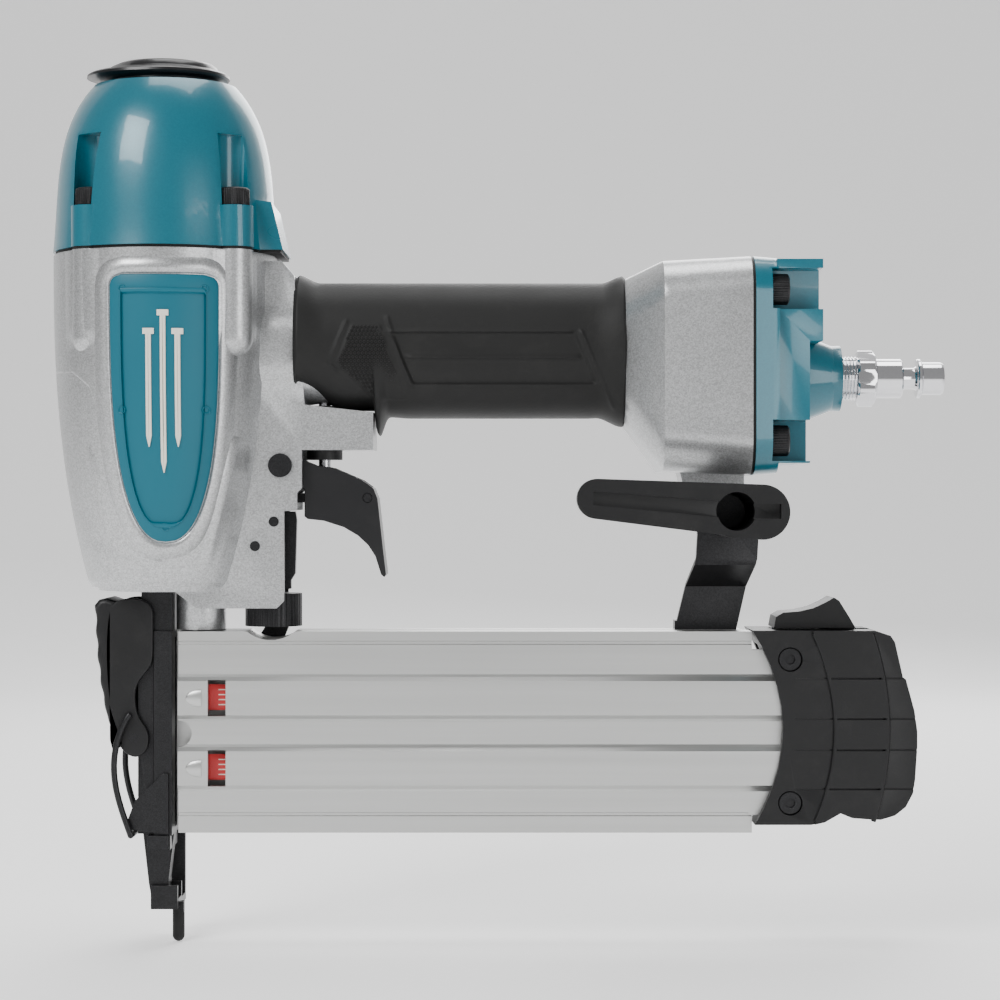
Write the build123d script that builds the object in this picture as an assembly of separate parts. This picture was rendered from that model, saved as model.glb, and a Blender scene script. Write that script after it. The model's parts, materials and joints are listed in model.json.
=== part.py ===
"""Pneumatic 18-gauge brad nailer, in millimetres.

X points from the nose towards the air plug, +Z points up, and the drive axis is the Z axis.
Z = 0 is the nail exit. The magazine, handle and trigger lie in the XZ plane.
"""
import os

from build123d import *

os.makedirs("parts", exist_ok=True)

# ---------------------------------------------------------------- driving dimensions
gap = 0.3                 # clearance between pieces that move past each other
fit = 0.05                # radial running clearance of a shaft in its hole

# head
head_r = 31.0             # outside radius of the head at the cap seam
seam_z = 182.0            # underside of the cap gasket
gasket_t = 0.8
cap_top_z = 229.6
head_bottom_z = 88.3
head_wall = 3.2
foot_r = 20.6             # outside radius of the head's foot
boss_shift = 1.8          # X offset of the four-screw pattern
boss_x = 19.6             # half spacing of the cap screws along X
boss_y = 20.6             # half spacing of the cap screws along Y
boss_r = 5.2
cap_screw_d = 5.0
screw_head_d = 8.5
screw_head_h = 5.0
cap_head_seat_z = 194.0

# drive
stroke = 76.0
piston_r = 16.0
piston_h = 9.0
bumper_h = 9.0
bumper_z = 92.0
blade_w = 1.8
blade_t = 1.1
sleeve_wall = 2.0
valve_r = 22.0

# web and trigger
web_half = 11.5
web_slot = 8.6            # half width of the slot between the web's cheeks
web_back_x = 39.2
web_low_x = 34.2
web_bottom_z = 83.5
neck_x = 10.0             # column between web and magazine, and the magazine screw in it
neck_r = 7.0
roll_pin_r = 1.4
roll_pin_places = ((31.4, 107.6), (26.2, 100.8))
pin_head_r = 3.3
pin_head_t = 1.2
trigger_x = 33.2
trigger_z = 123.2
trigger_pin_r = 2.0
trigger_half = 7.4
lever_pin_x = 57.2
lever_pin_z = 114.2
lever_pin_r = 1.2
valve_x = 44.8
valve_cap_r = 5.0
stem_r = 1.7

# handle and tail
grip_x0 = 37.0
grip_x1 = 128.6
grip_z = 156.0
grip_h = 37.4
grip_w = 33.0
grip_wall = 3.0
handle_wall = 2.6
tail_z = 150.5
tail_h = 60.0
tail_w = 58.0
tail_x1 = 162.8
tail_bevel_x = 139.0
tail_wall = 3.5
cap_screw_y = 21.5        # end-cap screws
cap_screw_z = 20.7
end_cap_t = 18.6
plug_z = 147.8
inlet_r = 9.2
inlet_x = 189.8
plug_bore_r = 6.2
plug_tip_r = 4.6

# nose
nose_half = 8.0
nose_front_x = -2.4
nose_back_x = 2.7
nose_top_z = 88.0
ear_half = 6.6
door_t = 4.3
door_half = 7.0
door_bottom_z = 20.0
hinge_x = -4.6
hinge_z = 78.5
hinge_r = 1.25
cam_x = -7.8
cam_z = 47.2
cam_pin_r = 1.5
cam_half = 9.3
bail_x = -9.0             # pivot of the wire bail in the cam lever
bail_z = 53.6
bail_wire_r = 0.9
bail_half = 10.8
ear_top_z = 37.4
ear_tip_x = -9.6
ear_tip_z = 24.2
nose_screw_x = -1.0
nose_screw_y = 4.2
nose_screw_r = 1.5

# magazine
mag_x0 = 4.7
mag_x1 = 164.3
mag_z0 = 21.0
mag_z1 = 77.0
mag_half = 11.0
mag_skin = 2.0
mag_screw_r = 1.9
mag_screw_y = 4.6
mag_split = 0.4           # plane between the fixed rail and the sliding cover
nail_slot = 0.75
rear_half = 14.0
latch_x = mag_x1 + 31.7
latch_pin_z = 72.5
latch_pin_r = 1.3

# contact arm
arm_travel = 7.0
dial_travel = 3.0         # what the depth dial moves the foot
arm_tab_z = 88.6          # underside of the tab that carries the dial's screw
arm_tab_t = 1.8
arm_tab_half = 3.0
dial_x = 30.4
dial_r = 8.0
dial_z0 = 78.2
dial_h = 9.2
dial_bore_r = 2.5
tip_z = -10.7
side_y = 12.4             # inner face of the lower contact arm, beside the magazine
side_t = 2.0

# belt hook and hanger strap
hook_bolt_x = 156.6
hook_bolt_z = 110.6
hook_bolt_r = 2.5
hook_face_y = -47.5
hook_t = 7.0
hook_boss_r = 7.0
hook_tip_x = 119.8
hook_tip_z = 113.9
hook_tip_r = 5.3
hook_end_x = 163.4
hook_end_r = 7.3
lug_half = 9.0
lug_r = 8.0
strap_t = 2.5


# ---------------------------------------------------------------- helpers
def xz(points, y0, y1):
    """Solid between y0 and y1 whose outline is a closed list of (x, z) points."""
    face = make_face(Polyline(*[(x, y0, z) for x, z in points], close=True))
    return extrude(face, amount=y1 - y0, dir=(0, 1, 0))


def yz(points, x0, x1):
    """Solid between x0 and x1 whose outline is a closed list of (y, z) points."""
    face = make_face(Polyline(*[(x0, y, z) for y, z in points], close=True))
    return extrude(face, amount=x1 - x0, dir=(1, 0, 0))


def block(x0, x1, y0, y1, z0, z1):
    """Box from its low and high corners."""
    centre = ((x0 + x1) / 2, (y0 + y1) / 2, (z0 + z1) / 2)
    return Pos(*centre) * Box(x1 - x0, y1 - y0, z1 - z0)


def rod(axis, a, b, r, x=0.0, y=0.0, z=0.0):
    """Cylinder along an axis from coordinate a to b; the other two coordinates place it."""
    middle = (a + b) / 2
    place = {"X": (middle, y, z), "Y": (x, middle, z), "Z": (x, y, middle)}[axis]
    turn = {"X": Rot(0, 90, 0), "Y": Rot(90, 0, 0), "Z": Rot(0, 0, 0)}[axis]
    return Pos(*place) * turn * Cylinder(r, b - a)


def oval(x, zc, height, width, round_share=0.46):
    """Rounded section across the X axis."""
    radius = round_share * min(height, width)
    across = Plane(origin=(x, 0, zc), x_dir=(0, 1, 0), z_dir=(1, 0, 0))
    return across * RectangleRounded(width, height, radius)


def turned(profile):
    """Solid of revolution about Z from (radius, z) points; closes itself on the axis."""
    points = [(0, 0, profile[0][1])] + [(r, 0, z) for r, z in profile] + [(0, 0, profile[-1][1])]
    return revolve(make_face(Polyline(*points, close=True)), Axis.Z)


def save(name, shape):
    """Writes one sub-part; its label is its node's name."""
    shape.label = name
    export_step(shape, f"parts/{name}.step")


def cap_screw_places():
    """Centres of the four cap screws."""
    return [(boss_shift + sx * boss_x, sy * boss_y) for sx in (-1, 1) for sy in (-1, 1)]


def end_screw_places():
    """Centres (y, z) of the four end-cap screws."""
    return [(sy * cap_screw_y, tail_z + sz * cap_screw_z) for sy in (-1, 1) for sz in (-1, 1)]


# ---------------------------------------------------------------- head
def head_outline(z):
    """Outside radius of the cast head at height z: a barrel that draws in towards the nose."""
    share = max(0.0, min(1.0, (seam_z - z) / (seam_z - head_bottom_z)))
    return head_r - (head_r - foot_r) * share ** 2.6


def barrel(grow=0.0):
    """The head's barrel, its skin moved outwards by grow."""
    steps = 8
    levels = [head_bottom_z + (seam_z - head_bottom_z) * i / steps for i in range(1, steps + 1)]
    curve = [(head_outline(z) + grow, 0, z) for z in levels]
    foot = (foot_r - 2.0 + grow, 0, head_bottom_z)
    outline = Wire([
        Spline(*curve),
        Line(curve[-1], (0, 0, seam_z)),
        Line((0, 0, seam_z), (0, 0, head_bottom_z)),
        Line((0, 0, head_bottom_z), foot),
        Line(foot, curve[0]),
    ])
    return revolve(make_face(outline), Axis.Z)


def make_head():
    """Cast head: barrel and four screw columns."""
    body = barrel()
    for x, y in cap_screw_places():
        column = rod("Z", seam_z - 24, seam_z, boss_r, x, y)
        body += column + Pos(x, y, seam_z - 24) * Sphere(boss_r)
    return body


def make_web():
    """Web between the head, the handle and the magazine, with its slot for trigger and dial."""
    outline = [
        (0, seam_z - 2), (33.5, seam_z - 2), (37, 176), (40, 140), (59, 138), (59, 127.5), (web_back_x, 127.5),
        (web_back_x, 117.0), (web_back_x - 1.3, 115.6), (web_back_x - 1.3, 110.8), (web_low_x, 110.5),
        (web_low_x, web_bottom_z + 2), (web_low_x - 2, web_bottom_z), (10, web_bottom_z), (3.4, 88.6), (0, 90),
    ]
    web = xz(outline, -web_half, web_half)
    return web


def web_slot_cut():
    """Space between the cheeks for trigger, arm and dial, open below and behind."""
    outline = [
        (20.5, web_bottom_z - 2), (20.5, 100), (28.5, 108), (28.5, 127.5), (34, 131), (40, 127.5),
        (web_back_x + 2, 127.4), (web_back_x + 2, web_bottom_z - 2),
    ]
    return xz(outline, -web_slot, web_slot)


def neck_shape():
    """Round column that joins the web to the magazine."""
    return rod("Z", mag_z1, head_bottom_z + 4, neck_r, neck_x)


def handle_section(x):
    """Section of the cast handle inside the grip sleeve."""
    return oval(x, grip_z, grip_h - 2 * grip_wall, grip_w - 2 * grip_wall)


def make_handle():
    """Cast handle, flaring tail and the lug for hook and strap."""
    handle = loft([handle_section(24), handle_section(80), handle_section(132)])
    tail = loft([
        oval(grip_x1 + gap, 154.8, 41, 34, 0.40), oval(tail_bevel_x, tail_z, tail_h - 2, tail_w - 4, 0.22),
    ], ruled=True)
    rear = loft([
        oval(tail_bevel_x, tail_z, tail_h - 2, tail_w - 4, 0.22), oval(tail_x1, tail_z, tail_h, tail_w, 0.18),
    ], ruled=True)
    lug = rod("Y", -lug_half, lug_half, lug_r, hook_bolt_x - 2, 0, hook_bolt_z)
    top = tail_z - tail_h / 2 + 4
    lug_web = xz([(hook_bolt_x - 13.1, top), (hook_bolt_x + 5.4, top), (hook_bolt_x + 5.8, hook_bolt_z),
                  (hook_bolt_x - 9.6, hook_bolt_z)], -lug_half, lug_half)
    return handle + tail + rear + lug + lug_web


def make_cavities():
    """Air space: cylinder bore and reservoir, handle passage, tail chamber, valve pocket."""
    sleeve_r = piston_r + fit + sleeve_wall
    bore_r = head_r - head_wall
    reservoir = turned([(sleeve_r + 1.2, 118), (bore_r - 1.5, 146), (bore_r, seam_z + 1)])
    seat = rod("Z", bumper_z, 130, sleeve_r + fit)
    blade_hole = rod("Z", head_bottom_z - 5, bumper_z + 1, 3.2)
    passage = loft([
        oval(20, grip_z, grip_h - 2 * (grip_wall + handle_wall), grip_w - 2 * (grip_wall + handle_wall)),
        oval(133, grip_z, grip_h - 2 * (grip_wall + handle_wall), grip_w - 2 * (grip_wall + handle_wall)),
    ])
    inner_h = tail_h - 2 * tail_wall - 2
    inner_w = tail_w - 2 * tail_wall - 4
    throat = oval(grip_x1 + 3.4, 154.8, 27, 21, 0.40)
    middle = oval(tail_bevel_x + 2, tail_z, inner_h - 4, inner_w - 4, 0.2)
    mouth = oval(tail_x1 + 1, tail_z, inner_h, inner_w, 0.2)
    chamber = loft([throat, middle], ruled=True) + loft([middle, mouth], ruled=True)
    valve_pocket = rod("Z", 126, 146, valve_cap_r + fit, valve_x)
    return reservoir + seat + blade_hole + passage + chamber + valve_pocket


def tail_screw_columns():
    """Solid corners of the tail that take the end-cap screws."""
    return [rod("X", 146, tail_x1, 4.6, 0, y, z) for y, z in end_screw_places()]


housing = make_head() + make_web() + make_handle() + neck_shape()
housing -= make_cavities()
for column in tail_screw_columns():
    housing += column
housing -= web_slot_cut()
housing -= block(dial_x - arm_tab_half - 0.6, web_back_x + 2, web_slot - 1, web_half + 1, web_bottom_z - 1,
                 arm_tab_z + arm_tab_t + arm_travel + dial_travel + 1)
housing -= block(0, neck_x + 10, -8, mag_split, mag_z1 - 1, mag_z1 + gap)
for x, y in cap_screw_places():
    housing -= rod("Z", seam_z - 17, seam_z + 1, cap_screw_d / 2, x, y)
for y, z in end_screw_places():
    housing -= rod("X", 150, tail_x1 + 1, 2.5, 0, y, z)
housing -= rod("Y", -web_half - 1, web_half + 1, trigger_pin_r, trigger_x, 0, trigger_z)
for x, z in roll_pin_places:
    housing -= rod("Y", -web_half - 1, web_half + 1, roll_pin_r, x, 0, z)
housing -= rod("Y", -lug_half - 1, lug_half + 1, hook_bolt_r, hook_bolt_x, 0, hook_bolt_z)
housing -= rod("Z", mag_z1 - 1, head_bottom_z, mag_screw_r, neck_x, mag_screw_y)
for y in (-nose_screw_y, nose_screw_y):
    housing -= rod("Z", head_bottom_z - 1, bumper_z - 0.2, nose_screw_r, nose_screw_x, y)
save("housing", housing)

# ---------------------------------------------------------------- head cap and its fasteners
cap_base_z = seam_z + gasket_t


def make_cap():
    """Domed cap with four screw pockets and a hollow for the head valve."""
    dome = Wire([
        Line((0, 0, cap_base_z), (head_r + 0.4, 0, cap_base_z)),
        Spline((head_r + 0.4, 0, cap_base_z), (head_r - 0.7, 0, 198), (head_r - 4.1, 0, 218),
               (20.0, 0, cap_top_z)),
        Line((20.0, 0, cap_top_z), (0, 0, cap_top_z)),
        Line((0, 0, cap_top_z), (0, 0, cap_base_z)),
    ])
    cap = revolve(make_face(dome), Axis.Z)
    flare = xz([(0, cap_base_z), (34.2, cap_base_z), (31.0, 196), (0, 200)], -web_half - 3, web_half + 3)
    cap += flare
    for x, y in cap_screw_places():
        cap += rod("Z", cap_base_z, cap_head_seat_z, boss_r + 0.2, x, y)
        cap -= rod("Z", cap_head_seat_z, 214, screw_head_d / 2 + 0.5, x, y)
        cap -= rod("Z", cap_base_z - 1, cap_head_seat_z + 1, cap_screw_d / 2 + 0.2, x, y)
    cap -= rod("Z", cap_base_z - 1, 204, valve_r + 1.0)
    cap -= rod("Z", 200, 218, 10.0 + fit)
    cap -= rod("Z", 216, cap_top_z + 1, 6.0)
    return cap


save("head_cap", make_cap())

gasket = rod("Z", seam_z, cap_base_z, head_r - 0.4)
gasket += block(0, 33.6, -web_half - 2.6, web_half + 2.6, seam_z, cap_base_z)
gasket -= rod("Z", seam_z - 1, cap_base_z + 1, valve_r + 1.0)
for x, y in cap_screw_places():
    gasket += rod("Z", seam_z, cap_base_z, boss_r - 0.2, x, y)
for x, y in cap_screw_places():
    gasket -= rod("Z", seam_z - 1, cap_base_z + 1, cap_screw_d / 2 + 0.2, x, y)
save("cap_gasket", gasket)


def socket_screw(length, d, head_d, head_h):
    """Socket-head screw standing on Z = 0 under its head."""
    screw = Pos(0, 0, head_h / 2) * Cylinder(head_d / 2, head_h)
    screw += Pos(0, 0, -length / 2) * Cylinder(d / 2, length)
    hexagon = extrude(Plane.XY.offset(head_h * 0.45) * RegularPolygon(d * 0.46, 6), amount=head_h)
    return screw - hexagon


cap_screw = socket_screw(cap_head_seat_z - seam_z + 16, cap_screw_d - 0.1, screw_head_d, screw_head_h)
save("cap_screws", Compound(children=[Pos(x, y, cap_head_seat_z) * cap_screw for x, y in cap_screw_places()]))

# ---------------------------------------------------------------- exhaust deflector
deflector_r = 18.0
deflector_z0 = cap_top_z + gap
deflector = rod("Z", deflector_z0, deflector_z0 + 1.6, deflector_r)
deflector += Pos(-0.9, 0, 0) * rod("Z", deflector_z0 + 1.6, 235.2, deflector_r - 1.6)
lid = xz([(-21.6, 230.8), (-22.2, 232.4), (-17.5, 235.0), (0, 237.4), (13.8, 235.4), (15.6, 233.2),
          (15.0, 231.5)], -16.6, 16.6)
lid &= rod("Z", 229, 238, 17.4) + block(-22.2, 0, -13, 13, 229, 238)
deflector += lid
deflector -= block(-30, -8, -11, 11, deflector_z0 + 1.6, 233.2)
deflector -= rod("Z", deflector_z0 - 1, 232.5, 5.5)
deflector -= rod("Z", deflector_z0, 240, 2.1)
deflector -= rod("Z", 235.5, 240, 4.6)
save("exhaust_deflector", deflector)
deflector_screw = rod("Z", 225, 235.6, 2.0) + rod("Z", 235.6 + gap / 2, 237.0, 4.0)
deflector_screw += rod("Z", 235.4, 235.8, 2.0)
deflector_screw += rod("Z", 222.5, 226.0, 2.0) + block(-5.7, 5.7, -1.6, 1.6, 221.0, 224.0)
save("deflector_screw", deflector_screw)

# ---------------------------------------------------------------- side badges
badge_x = 3.0
badge_depth = 1.6


def badge_outline(offset):
    """Half-round shield outline in XZ, drawn in from its edge by offset."""
    half_top = 14.6 - offset
    half_low = 11.4 - offset
    top = 176.0 - offset
    low = 108.0 + offset
    return [(badge_x - half_top + 2, top), (badge_x + half_top - 2, top), (badge_x + half_top, top - 3),
            (badge_x + half_low, low + 10), (badge_x + 6, low + 1.4), (badge_x, low), (badge_x - 6, low + 1.4),
            (badge_x - half_low, low + 10), (badge_x - half_top, top - 3)]


def make_badge(side):
    """Soft pad that follows the head's barrel; side is -1 for the near side."""
    plate = xz(badge_outline(0), min(0, side * 40), max(0, side * 40))
    return (plate & barrel(badge_depth)) - barrel()


for badge_name, badge_side in (("left_badge", -1), ("right_badge", 1)):
    save(badge_name, make_badge(badge_side))

# ---------------------------------------------------------------- cylinder, piston, head valve
sleeve_r = piston_r + fit + sleeve_wall
sleeve_top_z = bumper_z + bumper_h + stroke + piston_h + 2
sleeve = rod("Z", bumper_z, sleeve_top_z, sleeve_r) - rod("Z", bumper_z - 1, sleeve_top_z + 1, piston_r + fit)
save("cylinder_sleeve", sleeve)
bumper = rod("Z", bumper_z, bumper_z + bumper_h, piston_r - 0.4) - rod("Z", bumper_z - 1, 110, 3.4)
save("bumper", bumper)
piston_z0 = bumper_z + bumper_h + gap + stroke
groove_r = piston_r - 2.2
ring_t = 2.6
ring_z = piston_z0 + (piston_h - ring_t) / 2
piston = rod("Z", piston_z0, piston_z0 + piston_h, piston_r)
piston -= rod("Z", piston_z0 + 4, piston_z0 + piston_h + 1, 10.5)
piston -= rod("Z", ring_z, ring_z + ring_t, piston_r + 1) - rod("Z", ring_z, ring_z + ring_t, groove_r)
piston -= block(-blade_t / 2, blade_t / 2, -blade_w / 2, blade_w / 2, piston_z0 - 1, piston_z0 + 5)
save("piston", piston)
ring = rod("Z", ring_z, ring_z + ring_t, piston_r + fit / 2) - rod("Z", ring_z - 1, ring_z + 4, groove_r)
save("piston_ring", ring)
blade = block(-blade_t / 2, blade_t / 2, -blade_w / 2, blade_w / 2, mag_z1 - 0.5, piston_z0 + 4)
save("driver_blade", blade)

valve_z = sleeve_top_z + 0.4
valve = rod("Z", valve_z, valve_z + 6, valve_r) + rod("Z", valve_z, valve_z + 20, 10.0)
valve -= rod("Z", valve_z - 1, valve_z + 21, 6.4)
save("head_valve", valve)
spring_z0 = valve_z + 6
spring_z1 = 204.0
valve_spring = rod("Z", spring_z0 + 0.05, spring_z1 - 0.05, 14.0)
valve_spring -= rod("Z", spring_z0 - 1, spring_z1 + 1, 12.0)
save("head_valve_spring", valve_spring)

# ---------------------------------------------------------------- grip sleeve
sleeve_stations = [(grip_x0, 1.5, 1.0), (43.5, -0.4, 0.0), (88.5, 0.0, 0.0), (123.0, 0.4, 0.0),
                   (grip_x1, 4.6, 1.5)]
sections = [oval(x, grip_z, grip_h + grow, grip_w + wide * 2) for x, grow, wide in sleeve_stations]
grip = loft(sections)
grip += xz([(grip_x0 + 1, 150), (grip_x0 + 1, 143.2), (49.6, 140.7), (53.5, 139.3), (58.4, 133.6),
            (60.0, 132.0), (61.6, 134.4), (65.5, 138.6), (65.5, 150)], -10.0, 10.0)
grip -= loft([handle_section(24), handle_section(80), handle_section(132)])
grip -= xz([(30, 144), (30, 128), (59.2, 126), (59.2, 138.3), (40.4, 140.4)],
           -web_half - 0.02, web_half + 0.02)
grip -= xz([(0, 190), (33.5, 190), (33.5, seam_z - 2), (37, 176), (40, 140), (0, 90)],
           -web_half - 0.02, web_half + 0.02)
grip -= rod("Z", 120, 147, valve_cap_r + 0.3, valve_x)
grip = max(grip.solids(), key=lambda s: s.volume)
save("grip_sleeve", Part() + grip)

# ---------------------------------------------------------------- end cap, gasket, screws, air plug
tail_seal_t = 0.8
end_x = tail_x1 + tail_seal_t
seal_h = tail_h - 0.8
seal_w = tail_w - 0.8
tail_gasket = loft([oval(tail_x1, tail_z, seal_h, seal_w, 0.18), oval(end_x, tail_z, seal_h, seal_w, 0.18)])
tail_gasket -= loft([oval(tail_x1 - 1, tail_z, 38, 46, 0.2), oval(end_x + 1, tail_z, 38, 46, 0.2)])
for y, z in end_screw_places():
    tail_gasket -= rod("X", tail_x1 - 1, end_x + 1, 2.5, 0, y, z)
save("tail_gasket", tail_gasket)


def make_end_cap():
    """Rear cap with a stepped back, four screw pockets and the inlet boss."""
    plate = loft([oval(end_x, tail_z, tail_h, tail_w, 0.18),
                  oval(end_x + 6.5, tail_z, tail_h - 1, tail_w - 2, 0.18)])
    upper = block(end_x + 6, end_x + end_cap_t, -25, 25, 157, tail_z + tail_h / 2 - 1.2)
    lower = block(end_x + 6, end_x + end_cap_t - 3.6, -25, 25, tail_z - tail_h / 2 + 3.2, 157.5)
    cap = plate + upper + lower
    cap += rod("X", end_x + 6, inlet_x, inlet_r, 0, 0, plug_z)
    cap += loft([oval(end_x + end_cap_t - 5, plug_z, 26, 26, 0.4),
                 oval(inlet_x - 2.5, plug_z, 18.2, 18.2, 0.46)])
    for y, z in end_screw_places():
        sy = 1 if y > 0 else -1
        y0, y1 = sorted((y - sy * 6, sy * 40))
        pocket = block(end_x + 4.6, end_x + 30, y0, y1, z - 5.6, z + 5.6)
        cap -= pocket
        cap -= rod("X", end_x - 1, end_x + 10, 2.7, 0, y, z)
    hollow = loft([oval(end_x - 1, tail_z, 38, 36, 0.2), oval(end_x + 13, tail_z - 2, 32, 30, 0.2)])
    cap -= hollow
    cap -= rod("X", end_x, inlet_x + 1, plug_bore_r, 0, 0, plug_z)
    return cap


save("end_cap", make_end_cap())
end_screw = Rot(0, 90, 0) * socket_screw(end_x - 153, cap_screw_d - 0.1, screw_head_d, screw_head_h)
save("end_cap_screws", Compound(children=[Pos(end_x + 4.6, y, z) * end_screw for y, z in end_screw_places()]))

air_plug = rod("X", inlet_x - 8, 194.3, plug_bore_r, 0, 0, plug_z)
hexagon = Plane(origin=(194.3, 0, plug_z), x_dir=(0, 1, 0), z_dir=(1, 0, 0)) * RegularPolygon(8.1, 6)
air_plug += extrude(hexagon, amount=5.4)
air_plug += rod("X", 199.7, 207.3, 5.5, 0, 0, plug_z) + rod("X", 207.3, 211.8, 3.1, 0, 0, plug_z)
air_plug += rod("X", 211.4, 212.7, 5.5, 0, 0, plug_z) + rod("X", 212.6, 219.1, plug_tip_r, 0, 0, plug_z)
air_plug -= rod("X", 170, 220, 2.2, 0, 0, plug_z)
save("air_plug", air_plug)

# ---------------------------------------------------------------- trigger group
trigger_pin = rod("Y", -web_half, web_half, trigger_pin_r - 0.01, trigger_x, 0, trigger_z)
for side in (-1, 1):
    y0, y1 = sorted((side * web_half, side * (web_half + pin_head_t)))
    trigger_pin += rod("Y", y0, y1, pin_head_r, trigger_x, 0, trigger_z)
save("trigger_pin", trigger_pin)
pin_half = web_half + 0.3
roll_pins = [rod("Y", -pin_half, pin_half, roll_pin_r - 0.01, x, 0, z) for x, z in roll_pin_places]
save("housing_pins", Compound(children=roll_pins))

trigger_outline = [
    (trigger_x - 1, trigger_z + 3.9), (trigger_x + 2.5, trigger_z + 3.6), (39.6, 124.6), (43.0, 123.2),
    (47.5, 122.7), (55.7, 119.2), (58.8, 117.0), (60.0, 114.0), (61.6, 99.3), (62.4, 92.8), (61.9, 92.0),
    (61.0, 92.8), (59.4, 97.9), (57.4, 101.0), (54.5, 103.7), (50.6, 106.0), (45.0, 107.8), (40.5, 108.3),
    (39.6, 109.0),
    (39.6, 116.5), (36.0, 119.4), (trigger_x, trigger_z - 4.0), (trigger_x - 3.5, trigger_z - 1.5),
    (trigger_x - 3.7, trigger_z + 1.8),
]
trigger = xz(trigger_outline, -trigger_half, trigger_half)
trigger -= xz([(28, 114.6), (38, 106), (40.6, 109.6), (45, 109.3), (51.4, 107.4), (58.6, 110.6), (59.2, 114),
               (58.4, 117.5), (54, 125), (50, 130), (28, 130)], -5.3, 5.3)
trigger -= rod("Y", -9, 9, trigger_pin_r + fit, trigger_x, 0, trigger_z)
trigger -= rod("Y", -9, 9, lever_pin_r, lever_pin_x, 0, lever_pin_z)
save("trigger", trigger)
lever_pin_half = trigger_half + 0.2
save("lever_pin", rod("Y", -lever_pin_half, lever_pin_half, lever_pin_r - 0.01, lever_pin_x, 0, lever_pin_z))
lever = xz([(lever_pin_x, lever_pin_z - 1.6), (lever_pin_x, lever_pin_z + 1.8), (52, 116.2), (36.2, 115.4),
            (33.4, 114.4), (33.4, 112.9), (50, 112.9)], -3.0, 3.0)
lever += rod("Y", -3, 3, 1.9, lever_pin_x, 0, lever_pin_z)
lever -= rod("Y", -4, 4, lever_pin_r + fit, lever_pin_x, 0, lever_pin_z)
save("trigger_lever", lever)

valve_body = rod("Z", 124.9, 140, valve_cap_r, valve_x) - rod("Z", 120, 141, stem_r + fit, valve_x)
save("trigger_valve", valve_body)
save("valve_stem", rod("Z", 122.4, 141.5, stem_r, valve_x))

# ---------------------------------------------------------------- contact arm and depth dial
arm_half = 1.5
arm_tab_top = arm_tab_z + arm_tab_t
arm = xz([(33.6, 110.4), (36.6, 110.4), (37.0, 108), (36.6, 93), (35.4, arm_tab_top + 0.6), (35.4, arm_tab_z),
          (33.6, arm_tab_z)], -arm_half, arm_half)
screw_r = dial_bore_r - fit
arm += block(dial_x - arm_tab_half, 35.4, -arm_half, arm_half, arm_tab_z, arm_tab_top)
arm += rod("Z", dial_z0 + 1.2, arm_tab_top, screw_r, dial_x)
save("contact_arm_upper", arm)
dial = rod("Z", dial_z0, dial_z0 + dial_h, dial_r, dial_x)
knurls = 36
flute = rod("Z", dial_z0 - 1, dial_z0 + dial_h + 1, 0.35, dial_x + dial_r + 0.05)
for i in range(knurls):
    dial -= Pos(dial_x, 0, 0) * Rot(0, 0, 360 * i / knurls) * Pos(-dial_x, 0, 0) * flute
dial -= rod("Z", dial_z0 - 1, dial_z0 + dial_h + 1, dial_bore_r, dial_x)
save("depth_dial", dial)

foot_x0 = -3.6
foot_x1 = 3.9
fork_y = 3.6              # half width between the fork's two blades
fork_t = 1.6
tab_x0 = dial_x - 2.3     # clears the lower roll pin at full travel
lower = xz([(foot_x0, -1.0), (foot_x1, -1.0), (foot_x1, 24), (14, 46), (29, 66), (33.5, 77.0),
            (33.5, arm_tab_top), (tab_x0, arm_tab_top), (tab_x0, 79.4), (21, 68), (7, 48), (foot_x0, 26)],
           side_y, side_y + side_t)
lower += block(tab_x0, dial_x + arm_tab_half, dial_r + gap + 0.3, side_y + side_t, arm_tab_z, arm_tab_top)
lower += block(foot_x0, foot_x1, fork_y, side_y + side_t, -1.0, 1.0)
for side in (-1, 1):
    y0, y1 = sorted((side * fork_y, side * (fork_y + fork_t)))
    lower += block(foot_x0, foot_x1, y0, y1, -1.0, 5.6)
lower += block(2.1, foot_x1, -fork_y - fork_t, fork_y + fork_t, -1.0, 1.6)
lower += block(2.1, 5.2, -1.3, 1.3, -2.6, 0.6)
save("contact_foot", lower)
pad = Pos(3.6, 0, tip_z + 1.7) * Sphere(1.7) + rod("Z", tip_z + 1.7, -1.4, 1.7, 3.6)
pad -= block(2.05, 5.3, -1.35, 1.35, -2.65, 0.6)
save("tip_pad", pad)

# ---------------------------------------------------------------- nose
nose = block(nose_front_x, nose_back_x, -nose_half, nose_half, 20.0, mag_z1)
nose += block(-6.0, nose_back_x, -ear_half, ear_half, 80.8 + gap, nose_top_z + gap)
nose += block(nose_front_x + 1.6, nose_back_x, -ear_half, ear_half, mag_z1 - 1, 82)
nose += xz([(-6.0, 20.2), (nose_back_x, 20.2), (1.2, 7.5), (1.2, 0.4), (-3.4, 0.4), (-4.4, 6)], -3.2, 3.2)
nose += block(nose_front_x, nose_back_x - 0.5, -nose_half, nose_half, 16.0, 20.5)
for side in (-1, 1):
    y0, y1 = sorted((side * (door_half + gap), side * (door_half + gap + 1.9)))
    nose += xz([(0.4, ear_top_z), (1.8, ear_top_z), (1.8, 20.5), (ear_tip_x + 1.0, 21.8), (ear_tip_x, 22.8),
                (ear_tip_x, ear_tip_z), (-7.5, 29.8)], y0, y1)
    nose += block(-4.0, 1.8, min(side * 5, y0, y1), max(side * 5, y0, y1), 16.4, 20.1)
    y2, y3 = sorted((side * 4.6, side * ear_half))
    nose += xz([(-6.0, 81.5), (hinge_x - 2.2, hinge_z), (hinge_x, hinge_z - 2.2), (hinge_x + 4, hinge_z - 2.2),
                (hinge_x + 4, 82)], y2, y3)
nose -= block(nose_front_x - 1, -0.65, -2.5, 2.5, door_bottom_z, mag_z1 + 20)
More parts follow.
